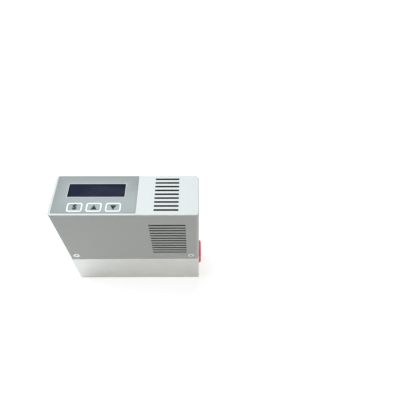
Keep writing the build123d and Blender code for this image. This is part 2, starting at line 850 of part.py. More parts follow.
# Coil: moulded bobbin with a terminal corner, and the copper winding on it
bobbin_bore_radius = sleeve_diameter / 2 + screw_clearance
bobbin_tube_radius = bobbin_bore_radius + bobbin_wall
terminal_offset = (bobbin_flange_diameter - coil_terminal_size) / 2
terminal_x = valve_x - terminal_offset
upper_flange_floor = bobbin_top - bobbin_flange_thickness
with BuildPart() as coil_bobbin:
    with BuildSketch(Plane.XY.offset(valve_plate_top)):
        with Locations((valve_x, 0)):
            Circle(bobbin_flange_diameter / 2)
    extrude(amount=bobbin_flange_thickness)
    with BuildSketch(Plane.XY.offset(valve_plate_top)):
        with Locations((valve_x, 0)):
            Circle(bobbin_tube_radius)
    extrude(amount=bobbin_height)
    with BuildSketch(Plane.XY.offset(upper_flange_floor)):
        with Locations((valve_x, 0)):
            RectangleRounded(bobbin_flange_diameter, bobbin_flange_diameter, bobbin_flange_corner)
    extrude(amount=bobbin_flange_thickness)
    with BuildSketch(Plane.XY.offset(upper_flange_floor)):
        with Locations((terminal_x + base_edge, terminal_offset - base_edge)):
            Rectangle(coil_terminal_size - 2 * base_edge, coil_terminal_size - 2 * base_edge)
    extrude(amount=-coil_terminal_height)
    with Locations((valve_x, 0, bobbin_top)):
        Hole(bobbin_bore_radius, depth=bobbin_height)
coil_bobbin.part.label = "coil_bobbin"
export_step(coil_bobbin.part, "parts/coil_bobbin.step")

winding_floor = valve_plate_top + bobbin_flange_thickness
with BuildPart() as coil_winding:
    with BuildSketch(Plane.XY.offset(winding_floor)):
        with Locations((valve_x, 0)):
            Circle(bobbin_flange_diameter / 2 - coil_winding_margin)
            Circle(bobbin_tube_radius + slip, mode=Mode.SUBTRACT)
    extrude(amount=upper_flange_floor - winding_floor)
coil_winding.part.label = "coil_winding"
export_step(coil_winding.part, "parts/coil_winding.step")

# Steel yoke bent over the coil, and the nut that holds it down
with BuildPart() as coil_yoke:
    with BuildSketch(Plane.XZ.offset(-yoke_width / 2)):
        with Locations((valve_x, valve_plate_top)):
            Rectangle(yoke_length, yoke_top - valve_plate_top, align=(Align.CENTER, Align.MIN))
            Rectangle(
                yoke_length - 2 * yoke_wall,
                bobbin_height,
                align=(Align.CENTER, Align.MIN),
                mode=Mode.SUBTRACT,
            )
    extrude(amount=yoke_width)
    fillet(coil_yoke.faces().sort_by(Axis.Z)[-1].edges().filter_by(Axis.Y), yoke_wall)
    with Locations((valve_x, 0, yoke_top)):
        Hole(stud_diameter / 2 + screw_clearance, depth=yoke_top_thickness)
coil_yoke.part.label = "coil_yoke"
export_step(coil_yoke.part, "parts/coil_yoke.step")

with BuildPart() as coil_nut:
    with BuildSketch(Plane.XY.offset(yoke_top)):
        with Locations((valve_x, 0)):
            RegularPolygon(coil_nut_width / 2, 6, major_radius=False)
            Circle(stud_diameter / 2 + slip, mode=Mode.SUBTRACT)
    extrude(amount=coil_nut_height)
coil_nut.part.label = "coil_nut"
export_step(coil_nut.part, "parts/coil_nut.step")

# Two coil leads from the terminal corner to the main board
lead_x = main_board_right - lead_end_inset
lead_y = terminal_offset - base_edge
lead_middle_z = upper_flange_floor - coil_terminal_height / 2
lead_start_x = terminal_x + base_edge - (coil_terminal_size - 2 * base_edge) / 2
with BuildPart() as valve_leads:
    for lead_z in (lead_middle_z - lead_spacing / 2, lead_middle_z + lead_spacing / 2):
        with BuildLine(Plane.XY.offset(lead_z)) as lead_route:
            FilletPolyline(
                (lead_start_x, lead_y), (lead_x, lead_y), (lead_x, main_board_y), radius=lead_bend
            )
        with BuildSketch(Plane(origin=lead_route.line @ 0, z_dir=lead_route.line % 0)):
            Circle(lead_diameter / 2)
        sweep()
valve_leads.part.label = "valve_leads"
export_step(valve_leads.part, "parts/valve_leads.step")

# Main board on two angle brackets
bracket_places = [(x - main_board_middle, bracket_screw_height - main_board_lift) for x in bracket_xs]
with BuildPart() as main_board:
    with BuildSketch(main_board_face):
        Rectangle(main_board_length, main_board_height, align=(Align.CENTER, Align.MIN))
        with Locations(bracket_places):
            Circle(bracket_screw_diameter / 2 + slip, mode=Mode.SUBTRACT)
    extrude(amount=-board_thickness)
main_board.part.label = "main_board"
export_step(main_board.part, "parts/main_board.step")

bracket_board_screw_z = spigot_top + bracket_screw_height
with BuildPart() as board_brackets:
    for bracket_x in bracket_xs:
        with BuildSketch(Plane.YZ.offset(bracket_x - bracket_width / 2)):
            with Locations((main_board_y, spigot_top)):
                Rectangle(bracket_foot, bracket_sheet, align=(Align.MAX, Align.MIN))
                Rectangle(bracket_sheet, bracket_height, align=(Align.MAX, Align.MIN))
        extrude(amount=bracket_width)
    with Locations([(x, bracket_foot_y, spigot_top + bracket_sheet) for x in bracket_xs]):
        Hole(bracket_screw_diameter / 2 + slip, depth=bracket_sheet)
    with Locations([
        Plane(origin=(x, main_board_y, bracket_board_screw_z), z_dir=(0, 1, 0)) for x in bracket_xs
    ]):
        Hole(bracket_screw_diameter / 2 + slip, depth=bracket_sheet)
board_brackets.part.label = "board_brackets"
export_step(board_brackets.part, "parts/board_brackets.step")

bracket_screw = socket_screw(
    bracket_screw_diameter,
    bracket_sheet + bracket_screw_grip,
    bracket_screw_head,
    bracket_screw_head_height,
    bracket_screw_diameter / 2,
)
with BuildPart() as board_screws:
    with Locations([(x, bracket_foot_y, spigot_top + bracket_sheet) for x in bracket_xs]):
        add(bracket_screw)
    with Locations([
        Plane(origin=(x, main_board_y + board_thickness, bracket_board_screw_z), z_dir=(0, 1, 0))
        for x in bracket_xs
    ]):
        add(bracket_screw)
board_screws.part.label = "board_screws"
export_step(board_screws.part, "parts/board_screws.step")

with BuildPart() as main_components:
    with BuildSketch(main_board_face):
        with Locations((-component_pitch, component_row_height)):
            Rectangle(processor_size, processor_size)
    extrude(amount=processor_height)
    with BuildSketch(main_board_face):
        with Locations((0, component_row_height)):
            Rectangle(driver_size, driver_size)
    extrude(amount=driver_height)
    with BuildSketch(main_board_face):
        with Locations((component_pitch, component_row_height)):
            with GridLocations(0, capacitor_diameter + link_bend, 1, 2):
                Circle(capacitor_diameter / 2)
    extrude(amount=capacitor_height)
main_components.part.label = "main_components"
export_step(main_components.part, "parts/main_components.step")

# Signal plug: metal shell, moulded insulator, nine pins, two jack posts and its small board
shroud_inside = d_outline(0)
shroud_outside = d_outline(shroud_wall)
shroud_cutout = d_outline(shroud_wall + shroud_clearance)
insulator_front = d_outline(-slip)
jack_places = [(-connector_hole_spacing / 2, 0), (connector_hole_spacing / 2, 0)]
long_row = [((place - 2) * pin_pitch, -pin_row_spacing / 2) for place in range(5)]
short_row = [((place - 1.5) * pin_pitch, pin_row_spacing / 2) for place in range(4)]
flange_back = connector_inside.offset(-connector_flange_thickness)

with BuildPart() as signal_shell:
    with BuildSketch(connector_inside):
        RectangleRounded(connector_flange_length, connector_flange_width, shroud_corner)
        add(shroud_inside, mode=Mode.SUBTRACT)
        with Locations(jack_places):
            Circle(jack_thread_diameter / 2 + slip, mode=Mode.SUBTRACT)
    extrude(amount=-connector_flange_thickness)
    with BuildSketch(connector_inside):
        add(shroud_outside)
        add(shroud_inside, mode=Mode.SUBTRACT)
    extrude(amount=shroud_depth)
    with BuildSketch(flange_back):
        with Locations(jack_places):
            Circle(jack_bush_diameter / 2)
            Circle(jack_thread_diameter / 2 + slip, mode=Mode.SUBTRACT)
    extrude(amount=-jack_bush_length)
signal_shell.part.label = "signal_shell"
export_step(signal_shell.part, "parts/signal_shell.step")

with BuildPart() as signal_insulator:
    with BuildSketch(flange_back):
        RectangleRounded(insulator_length, insulator_width, spigot_corner)
    extrude(amount=-insulator_depth)
    with BuildSketch(flange_back):
        add(insulator_front)
    extrude(amount=connector_flange_thickness + insulator_face)
    with Locations(connector_inside.offset(insulator_face)):
        with Locations(long_row + short_row):
            Hole(
                pin_diameter / 2 + slip,
                depth=insulator_face + connector_flange_thickness + insulator_depth,
            )
signal_insulator.part.label = "signal_insulator"
export_step(signal_insulator.part, "parts/signal_insulator.step")

pin_tip = connector_inside.offset(shroud_depth - pin_setback)
pin_reach = shroud_depth - pin_setback + connector_flange_thickness + insulator_depth
pin_length = pin_reach + board_thickness + pin_tail
with BuildPart() as signal_pins:
    with BuildSketch(pin_tip):
        with Locations(long_row + short_row):
            Circle(pin_diameter / 2)
    extrude(amount=-pin_length)
    chamfer(signal_pins.edges().group_by(Axis.X)[0], pin_diameter / 4)
signal_pins.part.label = "signal_pins"
export_step(signal_pins.part, "parts/signal_pins.step")

with BuildPart() as jack_posts:
    with BuildSketch(connector_wall):
        with Locations(jack_places):
            RegularPolygon(jack_width / 2, 6, major_radius=False)
    extrude(amount=jack_length)
    with BuildSketch(connector_wall):
        with Locations(jack_places):
            Circle(jack_thread_diameter / 2)
    extrude(amount=-jack_shank_length)
    with Locations(connector_wall.offset(jack_length)):
        with Locations(jack_places):
            Hole(jack_tapped_diameter / 2, depth=jack_tapped_depth)
jack_posts.part.label = "jack_posts"
export_step(jack_posts.part, "parts/jack_posts.step")

with BuildPart() as connector_board:
    with BuildSketch(connector_back):
        Rectangle(connector_board_height, connector_board_width)
        with Locations(long_row + short_row):
            Circle(pin_diameter / 2 + slip, mode=Mode.SUBTRACT)
    extrude(amount=-board_thickness)
connector_board.part.label = "connector_board"
export_step(connector_board.part, "parts/connector_board.step")

# Cover: one thin-walled box, open below, with the display and key cut-outs and the vents
with BuildPart() as cover:
    with BuildSketch(Plane.XY.offset(base_height + cover_lip_gap)):
        RectangleRounded(body_length, body_width, cover_corner)
    extrude(amount=cover_height - cover_lip_gap)
    fillet(cover.faces().sort_by(Axis.Z)[-1].edges(), cover_top_edge)
    chamfer(cover.faces().sort_by(Axis.Z)[0].edges(), cover_lip_edge)
    with BuildSketch(Plane.XY.offset(base_height)):
        RectangleRounded(
            body_length - 2 * cover_wall, body_width - 2 * cover_wall, cover_corner - cover_wall
        )
    extrude(amount=cover_height - cover_wall, mode=Mode.SUBTRACT)
    with BuildSketch(Plane.XY.offset(ceiling)):
        with Locations((display_x, window_y)):
            RectangleRounded(window_length + 2 * slip, window_width + 2 * slip, window_corner)
        with Locations((display_x, key_y)):
            with GridLocations(key_pitch, 0, key_count, 1):
                Circle(key_hole_diameter / 2)
        with Locations((valve_x + vent_shift, top_vent_y)):
            with GridLocations(0, top_vent_pitch, 1, top_vent_count):
                Rectangle(top_vent_length, vent_slot_width)
    extrude(amount=cover_wall, mode=Mode.SUBTRACT)
    for side_y, side in ((front_y, -1), (back_y, 1)):
        vent_middle = (valve_x + vent_shift, side_y, base_height + side_vent_height)
        with BuildSketch(Plane(origin=vent_middle, x_dir=(1, 0, 0), z_dir=(0, side, 0))):
            with GridLocations(0, side_vent_pitch, 1, side_vent_count):
                Rectangle(side_vent_length, vent_slot_width)
        extrude(amount=-cover_wall, mode=Mode.SUBTRACT)
    with Locations(cover_screw_seats):
        CounterSinkHole(
            radius=cover_screw_diameter / 2 + screw_clearance,
            counter_sink_radius=cover_screw_head / 2 + slip,
            depth=cover_wall,
            counter_sink_angle=90,
        )
    with BuildSketch(connector_wall):
        add(shroud_cutout)
        with Locations(jack_places):
            Circle(jack_thread_diameter / 2 + screw_clearance)
    extrude(amount=-cover_wall, mode=Mode.SUBTRACT)
cover.part.label = "cover"
export_step(cover.part, "parts/cover.step")

# Countersunk cross-recess screws in the cover
head_cone_height = (cover_screw_head - cover_screw_diameter) / 2
with BuildPart() as cover_screw:
    with BuildSketch(Plane.XY.offset(-head_cone_height)):
        Circle(cover_screw_diameter / 2)
    with BuildSketch(Plane.XY):
        Circle(cover_screw_head / 2)
    loft()
    with BuildSketch(Plane.XY):
        Circle(cover_screw_diameter / 2)
    extrude(amount=-cover_screw_length)
    with BuildSketch(Plane.XY):
        Rectangle(cross_length, cross_width)
        Rectangle(cross_width, cross_length)
    extrude(amount=-cross_depth, mode=Mode.SUBTRACT)
with BuildPart() as cover_screws:
    with Locations(cover_screw_seats):
        add(cover_screw.part)
cover_screws.part.label = "cover_screws"
export_step(cover_screws.part, "parts/cover_screws.step")

# Tinted window, bonded in from behind and flush with the keypad film
with BuildPart() as display_window:
    with BuildSketch(Plane.XY.offset(ceiling)):
        with Locations((display_x, window_y)):
            RectangleRounded(window_length, window_width, window_corner)
    extrude(amount=cover_wall + film_thickness)
    with BuildSketch(Plane.XY.offset(ceiling)):
        with Locations((display_x, window_y)):
            RectangleRounded(
                window_length + 2 * window_flange_margin,
                window_width + 2 * window_flange_margin,
                spigot_corner,
            )
    extrude(amount=-window_flange_thickness)
display_window.part.label = "display_window"
export_step(display_window.part, "parts/display_window.step")

# Keypad film glued on the top, with a raised ring round each key
film_width = body_width - film_front_margin - film_back_margin
film_y = (film_front_margin - film_back_margin) / 2
film_x = left_end + film_left_margin + film_length / 2
with BuildPart() as keypad_film:
    with BuildSketch(Plane.XY.offset(cover_top)):
        with Locations((film_x, film_y)):
            RectangleRounded(film_length, film_width, film_corner)
        with Locations((display_x, window_y)):
            RectangleRounded(
                window_length + 2 * slip, window_width + 2 * slip, window_corner, mode=Mode.SUBTRACT
            )
    extrude(amount=film_thickness)
    with BuildSketch(Plane.XY.offset(film_top)):
        with Locations((display_x, key_y)):
            with GridLocations(key_pitch, 0, key_count, 1):
                RectangleRounded(key_ring_length, key_ring_width, key_ring_corner)
                RectangleRounded(
                    key_ring_length - 2 * key_ring_band,
                    key_ring_width - 2 * key_ring_band,
                    key_ring_corner - key_ring_band,
                    mode=Mode.SUBTRACT,
                )
    extrude(amount=key_ring_height)
keypad_film.part.label = "keypad_film"
export_step(keypad_film.part, "parts/keypad_film.step")

# Display board, hung from four studs under the cover's top wall
with BuildPart() as display_studs:
    with BuildSketch(Plane.XY.offset(display_board_top)):
        with Locations((display_x, 0)):
            with GridLocations(display_stud_spacing_x, display_stud_spacing_y, 2, 2):
                Circle(display_stud_diameter / 2)
    extrude(amount=display_board_drop)
    with BuildSketch(Plane.XY.offset(display_board_top)):
        with Locations((display_x, 0)):
            with GridLocations(display_stud_spacing_x, display_stud_spacing_y, 2, 2):
                Circle(display_screw_diameter / 2 + slip)
    extrude(amount=display_screw_grip + screw_clearance, mode=Mode.SUBTRACT)
display_studs.part.label = "display_studs"
export_step(display_studs.part, "parts/display_studs.step")

with BuildPart() as display_board:
    with BuildSketch(Plane.XY.offset(display_board_bottom)):
        with Locations((display_x, 0)):
            Rectangle(display_board_length, display_board_width)
            with GridLocations(display_stud_spacing_x, display_stud_spacing_y, 2, 2):
                Circle(display_screw_diameter / 2 + slip, mode=Mode.SUBTRACT)
    extrude(amount=board_thickness)
display_board.part.label = "display_board"
export_step(display_board.part, "parts/display_board.step")

display_screw = socket_screw(
    display_screw_diameter,
    board_thickness + display_screw_grip,
    display_screw_head,
    display_screw_head_height,
    display_screw_diameter / 2,
)
board_underside = Plane(
    origin=(display_x, 0, display_board_bottom), x_dir=(1, 0, 0), z_dir=(0, 0, -1)
)
with BuildPart() as display_screws:
    with Locations(board_underside):
        with GridLocations(display_stud_spacing_x, display_stud_spacing_y, 2, 2):
            add(display_screw)
display_screws.part.label = "display_screws"
export_step(display_screws.part, "parts/display_screws.step")

module_height = display_board_drop - window_flange_thickness - module_clearance
with BuildPart() as display_module:
    with BuildSketch(Plane.XY.offset(display_board_top)):
        with Locations((display_x, window_y)):
            Rectangle(module_length, module_width)
    extrude(amount=module_height)
    chamfer(display_module.faces().sort_by(Axis.Z)[-1].edges(), module_edge)
display_module.part.label = "display_module"
export_step(display_module.part, "parts/display_module.step")

# Key switches under the film: three bodies and a sprung stem in each
switch_top = display_board_top + switch_height
stem_rest = switch_top - switch_lid - stem_collar_thickness
with BuildPart() as key_switches:
    with BuildSketch(Plane.XY.offset(display_board_top)):
        with Locations((display_x, key_y)):
            with GridLocations(key_pitch, 0, key_count, 1):
                Rectangle(switch_size, switch_size)
    extrude(amount=switch_height)
    with BuildSketch(Plane.XY.offset(switch_top)):
        with Locations((display_x, key_y)):
            with GridLocations(key_pitch, 0, key_count, 1):
                Circle(stem_diameter / 2 + running)
    extrude(amount=-switch_well_depth, mode=Mode.SUBTRACT)
    with BuildSketch(Plane.XY.offset(switch_top - switch_lid)):
        with Locations((display_x, key_y)):
            with GridLocations(key_pitch, 0, key_count, 1):
                Circle(stem_collar_diameter / 2 + running)
    extrude(amount=switch_lid - switch_well_depth, mode=Mode.SUBTRACT)
key_switches.part.label = "key_switches"
export_step(key_switches.part, "parts/key_switches.step")

for place, name in enumerate(("set_key_stem", "up_key_stem", "down_key_stem")):
    stem_x = display_x + (place - 1) * key_pitch
    with BuildPart() as key_stem:
        with BuildSketch(Plane.XY.offset(stem_rest)):
            with Locations((stem_x, key_y)):
                Circle(stem_collar_diameter / 2)
        extrude(amount=stem_collar_thickness)
        with BuildSketch(Plane.XY.offset(stem_rest)):
            with Locations((stem_x, key_y)):
                Circle(stem_diameter / 2)
        extrude(amount=cover_top - stem_gap - stem_rest)
    key_stem.part.label = name
    export_step(key_stem.part, f"parts/{name}.step")

# Flexible links, each from a socket to a socket or into the sensor's shell
sensor_link_z = base_height + sensor_link_height
display_link_z = base_height + display_link_height
signal_link_z = base_height + signal_link_height
socket_face_y = main_board_y - socket_height
signal_link_x = main_board_left + signal_link_inset
connector_socket_face = connector_board_back.offset(-socket_height)

sensor_link = flexible_link(
    Plane.YZ.offset(sensor_x),
    [(0, sensor_shell_top), (0, sensor_link_z), (socket_face_y, sensor_link_z)],
)
sensor_link.label = "sensor_link"
export_step(sensor_link, "parts/sensor_link.step")

display_link = flexible_link(
    Plane.YZ.offset(display_link_x),
    [
        (display_link_y, display_board_bottom - socket_height),
        (display_link_y, display_link_z),
        (socket_face_y, display_link_z),
    ],
)
display_link.label = "display_link"
export_step(display_link, "parts/display_link.step")

signal_link = flexible_link(
    Plane.XY.offset(signal_link_z),
    [
        (connector_socket_face.origin.X, signal_link_y),
        (signal_link_x, signal_link_y),
        (signal_link_x, socket_face_y),
    ],
)
signal_link.label = "signal_link"
export_step(signal_link, "parts/signal_link.step")

link_rows = [(sensor_x, sensor_link_z), (display_link_x, display_link_z)]
with BuildPart() as link_sockets:
    with BuildSketch(main_board_face):
        with Locations([(x - main_board_middle, z - main_board_bottom) for x, z in link_rows]):
            Rectangle(socket_length, socket_width)
        with Locations((signal_link_x - main_board_middle, signal_link_z - main_board_bottom)):
            Rectangle(socket_width, socket_length)
    extrude(amount=socket_height)
    with BuildSketch(connector_board_back):
        with Locations((signal_link_z - connector_z, signal_link_y)):
            Rectangle(socket_length, socket_width)
    extrude(amount=-socket_height)
    with BuildSketch(Plane.XY.offset(display_board_bottom)):
        with Locations((display_link_x, display_link_y)):
            Rectangle(socket_length, socket_width)
    extrude(amount=-socket_height)
link_sockets.part.label = "link_sockets"
export_step(link_sockets.part, "parts/link_sockets.step")
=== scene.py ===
import bmesh
import bpy
import math
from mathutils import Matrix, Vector


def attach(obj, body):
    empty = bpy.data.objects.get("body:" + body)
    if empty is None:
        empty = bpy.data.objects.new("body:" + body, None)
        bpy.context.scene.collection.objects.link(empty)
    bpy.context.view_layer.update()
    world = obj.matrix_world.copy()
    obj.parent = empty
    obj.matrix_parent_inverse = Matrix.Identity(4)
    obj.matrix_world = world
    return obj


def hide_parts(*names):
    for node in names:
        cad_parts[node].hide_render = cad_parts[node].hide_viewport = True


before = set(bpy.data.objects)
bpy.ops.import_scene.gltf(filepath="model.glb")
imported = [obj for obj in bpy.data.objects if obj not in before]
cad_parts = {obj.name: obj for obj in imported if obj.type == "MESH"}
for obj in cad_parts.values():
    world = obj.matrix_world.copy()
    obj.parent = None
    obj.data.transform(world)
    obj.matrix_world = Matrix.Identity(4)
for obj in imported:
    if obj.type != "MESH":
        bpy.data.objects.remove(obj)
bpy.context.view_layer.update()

# Camera, at the photograph's place: in front of the outlet end and above, looking 54 degrees
# down. Place, tilt and field of view come from one fit to the edges of the object.
camera_sensor = 36.0
camera_lens = 35.498
camera_near = 0.01
camera_place = (0.04032, -0.13265, 0.25817)
camera_turn = (35.751, -0.317, -0.321)

camera_data = bpy.data.cameras.new("camera")
camera_data.sensor_width = camera_sensor
camera_data.lens = camera_lens
camera_data.clip_start = camera_near
camera = bpy.data.objects.new("camera", camera_data)
camera.location = camera_place
camera.rotation_euler = [math.radians(turn) for turn in camera_turn]
bpy.context.scene.collection.objects.link(camera)
bpy.context.scene.camera = camera
bpy.context.scene.view_settings.view_transform = "Standard"

# Studio floor: a white paper sheet. The camera sees it almost paper white, reflections see it a
# little darker, and it keeps the soft shadow round the base.
floor_size = 6.0
floor_drop = 0.00002
floor_colour = (0.84, 0.825, 0.80, 1)
camera_white_share = 0.51
glow_strength = 1.40
mirror_white_share = 0.11


def new_material(name):
    """A material with a Principled shader; gives the material, its node tree and the shader."""
    material = bpy.data.materials.new(name)
    material.use_nodes = True
    tree = material.node_tree
    return material, tree, tree.nodes["Principled BSDF"]


def set_material(piece, material):
    """Put one material on a new piece."""
    piece.data.materials.clear()
    piece.data.materials.append(material)


def add_math(tree, operation, *values):
    """A maths node on sockets or plain numbers; gives its result."""
    node = tree.nodes.new("ShaderNodeMath")
    node.operation = operation
    for place, value in enumerate(values):
        if isinstance(value, (int, float)):
            node.inputs[place].default_value = value
        else:
            tree.links.new(value, node.inputs[place])
    return node.outputs[0]


def ray_share(tree, seen_share, mirror_share):
    """One value for camera rays, one for mirror and transmission rays, and zero for the rest."""
    path = tree.nodes.new("ShaderNodeLightPath").outputs
    mirrored = add_math(tree, "MAXIMUM", path["Is Glossy Ray"], path["Is Transmission Ray"])
    mirror_part = add_math(tree, "MULTIPLY", mirrored, mirror_share)
    return add_math(tree, "MULTIPLY_ADD", path["Is Camera Ray"], seen_share, mirror_part)


bpy.ops.object.select_all(action="DESELECT")
bpy.ops.mesh.primitive_plane_add(size=floor_size, location=(0, 0, -floor_drop))
floor = bpy.context.object
floor.name = "floor"
floor_material = bpy.data.materials.new("white_sheet")
floor_material.use_nodes = True
floor_tree = floor_material.node_tree
floor_tree.nodes.clear()
floor_output = floor_tree.nodes.new("ShaderNodeOutputMaterial")
floor_diffuse = floor_tree.nodes.new("ShaderNodeBsdfDiffuse")
floor_diffuse.inputs["Color"].default_value = floor_colour
floor_glow = floor_tree.nodes.new("ShaderNodeEmission")
floor_glow.inputs["Strength"].default_value = glow_strength
floor_mix = floor_tree.nodes.new("ShaderNodeMixShader")
floor_share = ray_share(floor_tree, camera_white_share, mirror_white_share)
floor_tree.links.new(floor_share, floor_mix.inputs["Fac"])
floor_tree.links.new(floor_diffuse.outputs[0], floor_mix.inputs[1])
floor_tree.links.new(floor_glow.outputs[0], floor_mix.inputs[2])
floor_tree.links.new(floor_mix.outputs[0], floor_output.inputs["Surface"])
set_material(floor, floor_material)

# Studio light: one large soft cool panel overhead, behind and to the left, a small warm fill
# from the right and a dim warm surround. The camera sees the surround as white.
surround_colour = (1.0, 0.975, 0.94, 1)
surround_strength = 0.19
surround_mirror_strength = 0.75
panel_size = (0.9, 0.7)
panel_power = 13.6
panel_colour = (0.85, 0.955, 1.0)
panel_place = (-0.26, 0.24, 0.92)
panel_target = Vector((0, 0, 0.05))
fill_size = (0.4, 0.4)
fill_power = 1.6
fill_colour = (1.0, 0.97, 0.94)
fill_place = (0.80, -0.07, 0.30)

world = bpy.data.worlds.new("studio")
bpy.context.scene.world = world
world.use_nodes = True
world_tree = world.node_tree
world_background = world_tree.nodes["Background"]
world_background.inputs["Color"].default_value = surround_colour
world_share = ray_share(
    world_tree, 1.0 - surround_strength, surround_mirror_strength - surround_strength
)
world_strength = add_math(world_tree, "ADD", world_share, surround_strength)
world_tree.links.new(world_strength, world_background.inputs["Strength"])

for label, size, power, colour, place in (
    ("overhead_panel", panel_size, panel_power, panel_colour, panel_place),
    ("right_fill", fill_size, fill_power, fill_colour, fill_place),
):
    panel_data = bpy.data.lights.new(label, "AREA")
    panel_data.shape = "RECTANGLE"
    panel_data.size, panel_data.size_y = size
    panel_data.energy = power
    panel_data.color = colour
    panel = bpy.data.objects.new(label, panel_data)
    panel.location = place
    panel.rotation_euler = (panel_target - panel.location).to_track_quat("-Z", "Y").to_euler()
    bpy.context.scene.collection.objects.link(panel)

# Base blocks: two lengths of square metal bar, milled and then fine ground along their length,
# bolted end to end. Two tapped holes in the bottom take the M4 fixing screws.
bar_dark = (0.79, 0.78, 0.755)
bar_light = (0.85, 0.84, 0.815)
bar_roughness = 0.40
bar_grain = (120, 4200, 4200)
line_detail = 3.0
cloud_scale = 60.0
cloud_detail = 4.0
noise_low = 0.3
noise_high = 0.7
rough_below = 0.05
rough_above = 0.06
grain_depth = 0.000004
bump_strength = 0.4


def new_group(name, inputs, outputs):
    """An empty shader node group with its sockets; gives the tree, its input and its output."""
    tree = bpy.data.node_groups.new(name, "ShaderNodeTree")
    for label, kind, value in inputs:
        socket = tree.interface.new_socket(name=label, in_out="INPUT", socket_type=kind)
        socket.default_value = value
    for label, kind in outputs:
        tree.interface.new_socket(name=label, in_out="OUTPUT", socket_type=kind)
    return tree, tree.nodes.new("NodeGroupInput"), tree.nodes.new("NodeGroupOutput")


def add_noise(tree, place, scale, detail):
    """A noise texture read at the given place."""
    node = tree.nodes.new("ShaderNodeTexNoise")
    node.inputs["Scale"].default_value = scale
    node.inputs["Detail"].default_value = detail
    tree.links.new(place, node.inputs["Vector"])
    return node


grain_group, grain_in, grain_out = new_group(
    "grinding_grain",
    [("Frequency", "NodeSocketVector", bar_grain)],
    [("Lines", "NodeSocketFloat"), ("Clouds", "NodeSocketFloat")],
)
grain_place = grain_group.nodes.new("ShaderNodeTexCoord")
grain_stretch = grain_group.nodes.new("ShaderNodeVectorMath")
grain_stretch.operation = "MULTIPLY"
grain_group.links.new(grain_place.outputs["Object"], grain_stretch.inputs[0])
grain_group.links.new(grain_in.outputs["Frequency"], grain_stretch.inputs[1])
grain_lines = add_noise(grain_group, grain_stretch.outputs[0], 1.0, line_detail)
grain_clouds = add_noise(grain_group, grain_place.outputs["Object"], cloud_scale, cloud_detail)
grain_group.links.new(grain_lines.outputs["Fac"], grain_out.inputs["Lines"])
grain_group.links.new(grain_clouds.outputs["Fac"], grain_out.inputs["Clouds"])


def add_group(tree, group, **values):
    """Place a node group in a material with its own values."""
    node = tree.nodes.new("ShaderNodeGroup")
    node.node_tree = group
    for label, value in values.items():
        node.inputs[label.replace("_", " ").title()].default_value = value
    return node


def spread(tree, source, low, high):
    """Map the middle of a noise value to the range between low and high."""
    node = tree.nodes.new("ShaderNodeMapRange")
    node.inputs["From Min"].default_value = noise_low
    node.inputs["From Max"].default_value = noise_high
    node.inputs["To Min"].default_value = low
    node.inputs["To Max"].default_value = high
    tree.links.new(source, node.inputs["Value"])
    return node.outputs["Result"]


def two_tone(tree, source, dark, light):
    """Blend two close colours by a noise value."""
    node = tree.nodes.new("ShaderNodeValToRGB")
    node.color_ramp.elements[0].position = noise_low
    node.color_ramp.elements[0].color = (*dark, 1)
    node.color_ramp.elements[1].position = noise_high
    node.color_ramp.elements[1].color = (*light, 1)
    tree.links.new(source, node.inputs["Fac"])
    return node.outputs["Color"]


def add_bump(tree, shader, height, distance):
    """Raise the surface by a height map, with its depth in metres."""
    node = tree.nodes.new("ShaderNodeBump")
    node.inputs["Distance"].default_value = distance
    node.inputs["Strength"].default_value = bump_strength
    tree.links.new(height, node.inputs["Height"])
    tree.links.new(node.outputs["Normal"], shader.inputs["Normal"])


def ground_metal(name, dark, light, roughness, grain):
    """Bare metal with fine tool lines along the direction in which the grain is slow."""
    material, tree, shader = new_material(name)
    shader.inputs["Metallic"].default_value = 1.0
    lines = add_group(tree, grain_group, frequency=grain)
    tone = two_tone(tree, lines.outputs["Clouds"], dark, light)
    tree.links.new(tone, shader.inputs["Base Color"])
    rough = spread(tree, lines.outputs["Lines"], roughness - rough_below, roughness + rough_above)
    tree.links.new(rough, shader.inputs["Roughness"])
    add_bump(tree, shader, lines.outputs["Lines"], grain_depth)
    return material


def dress(material, *node_names):
    """Give a material to CAD nodes whose shape stays."""
    for name in node_names:
        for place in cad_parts[name].material_slots:
            place.material = material


bar_metal = ground_metal(
    "ground_bar_metal", dark=bar_dark, light=bar_light, roughness=bar_roughness, grain=bar_grain
)
dress(bar_metal, "sensor_block", "valve_block")

mount_hole_x = 0.025
mount_hole_radius = 0.00165
mount_thread_pitch = 0.0007
mount_thread_turns = 6
mount_thread_ridge = 0.00016
thread_steps = 24
along_share = 0.98


def choose(piece):
    """Make one object the only one that operators act on."""
    bpy.ops.object.select_all(action="DESELECT")
    piece.select_set(True)
    bpy.context.view_layer.objects.active = piece


def start_piece(name, add_primitive, box_size=None, **place):
    """Add a primitive at its size and place, and open it for shaping with nothing selected."""
    bpy.ops.object.select_all(action="DESELECT")
    add_primitive(**place)
    piece = bpy.context.object
    piece.name = name
    if box_size:
        piece.scale = box_size
    bpy.ops.object.transform_apply(location=True, rotation=True, scale=True)
    bpy.ops.object.mode_set(mode="EDIT")
    bpy.ops.mesh.select_all(action="DESELECT")
    return piece


def middle(item):
    """The middle of a face or an edge."""
    points = [corner.co for corner in item.verts]
    return sum(points, Vector()) / len(points)


def pick(piece, kind, test):
    """Select the faces or edges that pass the test, and nothing else."""
    bpy.ops.mesh.select_all(action="DESELECT")
    bpy.ops.mesh.select_mode(type=kind)
    mesh = bmesh.from_edit_mesh(piece.data)
    for item in mesh.faces if kind == "FACE" else mesh.edges:
        if test(item):
            item.select_set(True)
    mesh.select_flush_mode()
    bmesh.update_edit_mesh(piece.data)


def runs_along(edge, axis):
    """True for an edge that runs along one axis, 0 for X, 1 for Y and 2 for Z."""
    run = edge.verts[1].co - edge.verts[0].co
    return run.length > 0 and abs(run[axis]) > along_share * run.length


def bevel_picked(offset, segments=3):
    """Round the selected edges."""
    bpy.ops.mesh.bevel(offset=offset, segments=segments, affect="EDGES", clamp_overlap=True)


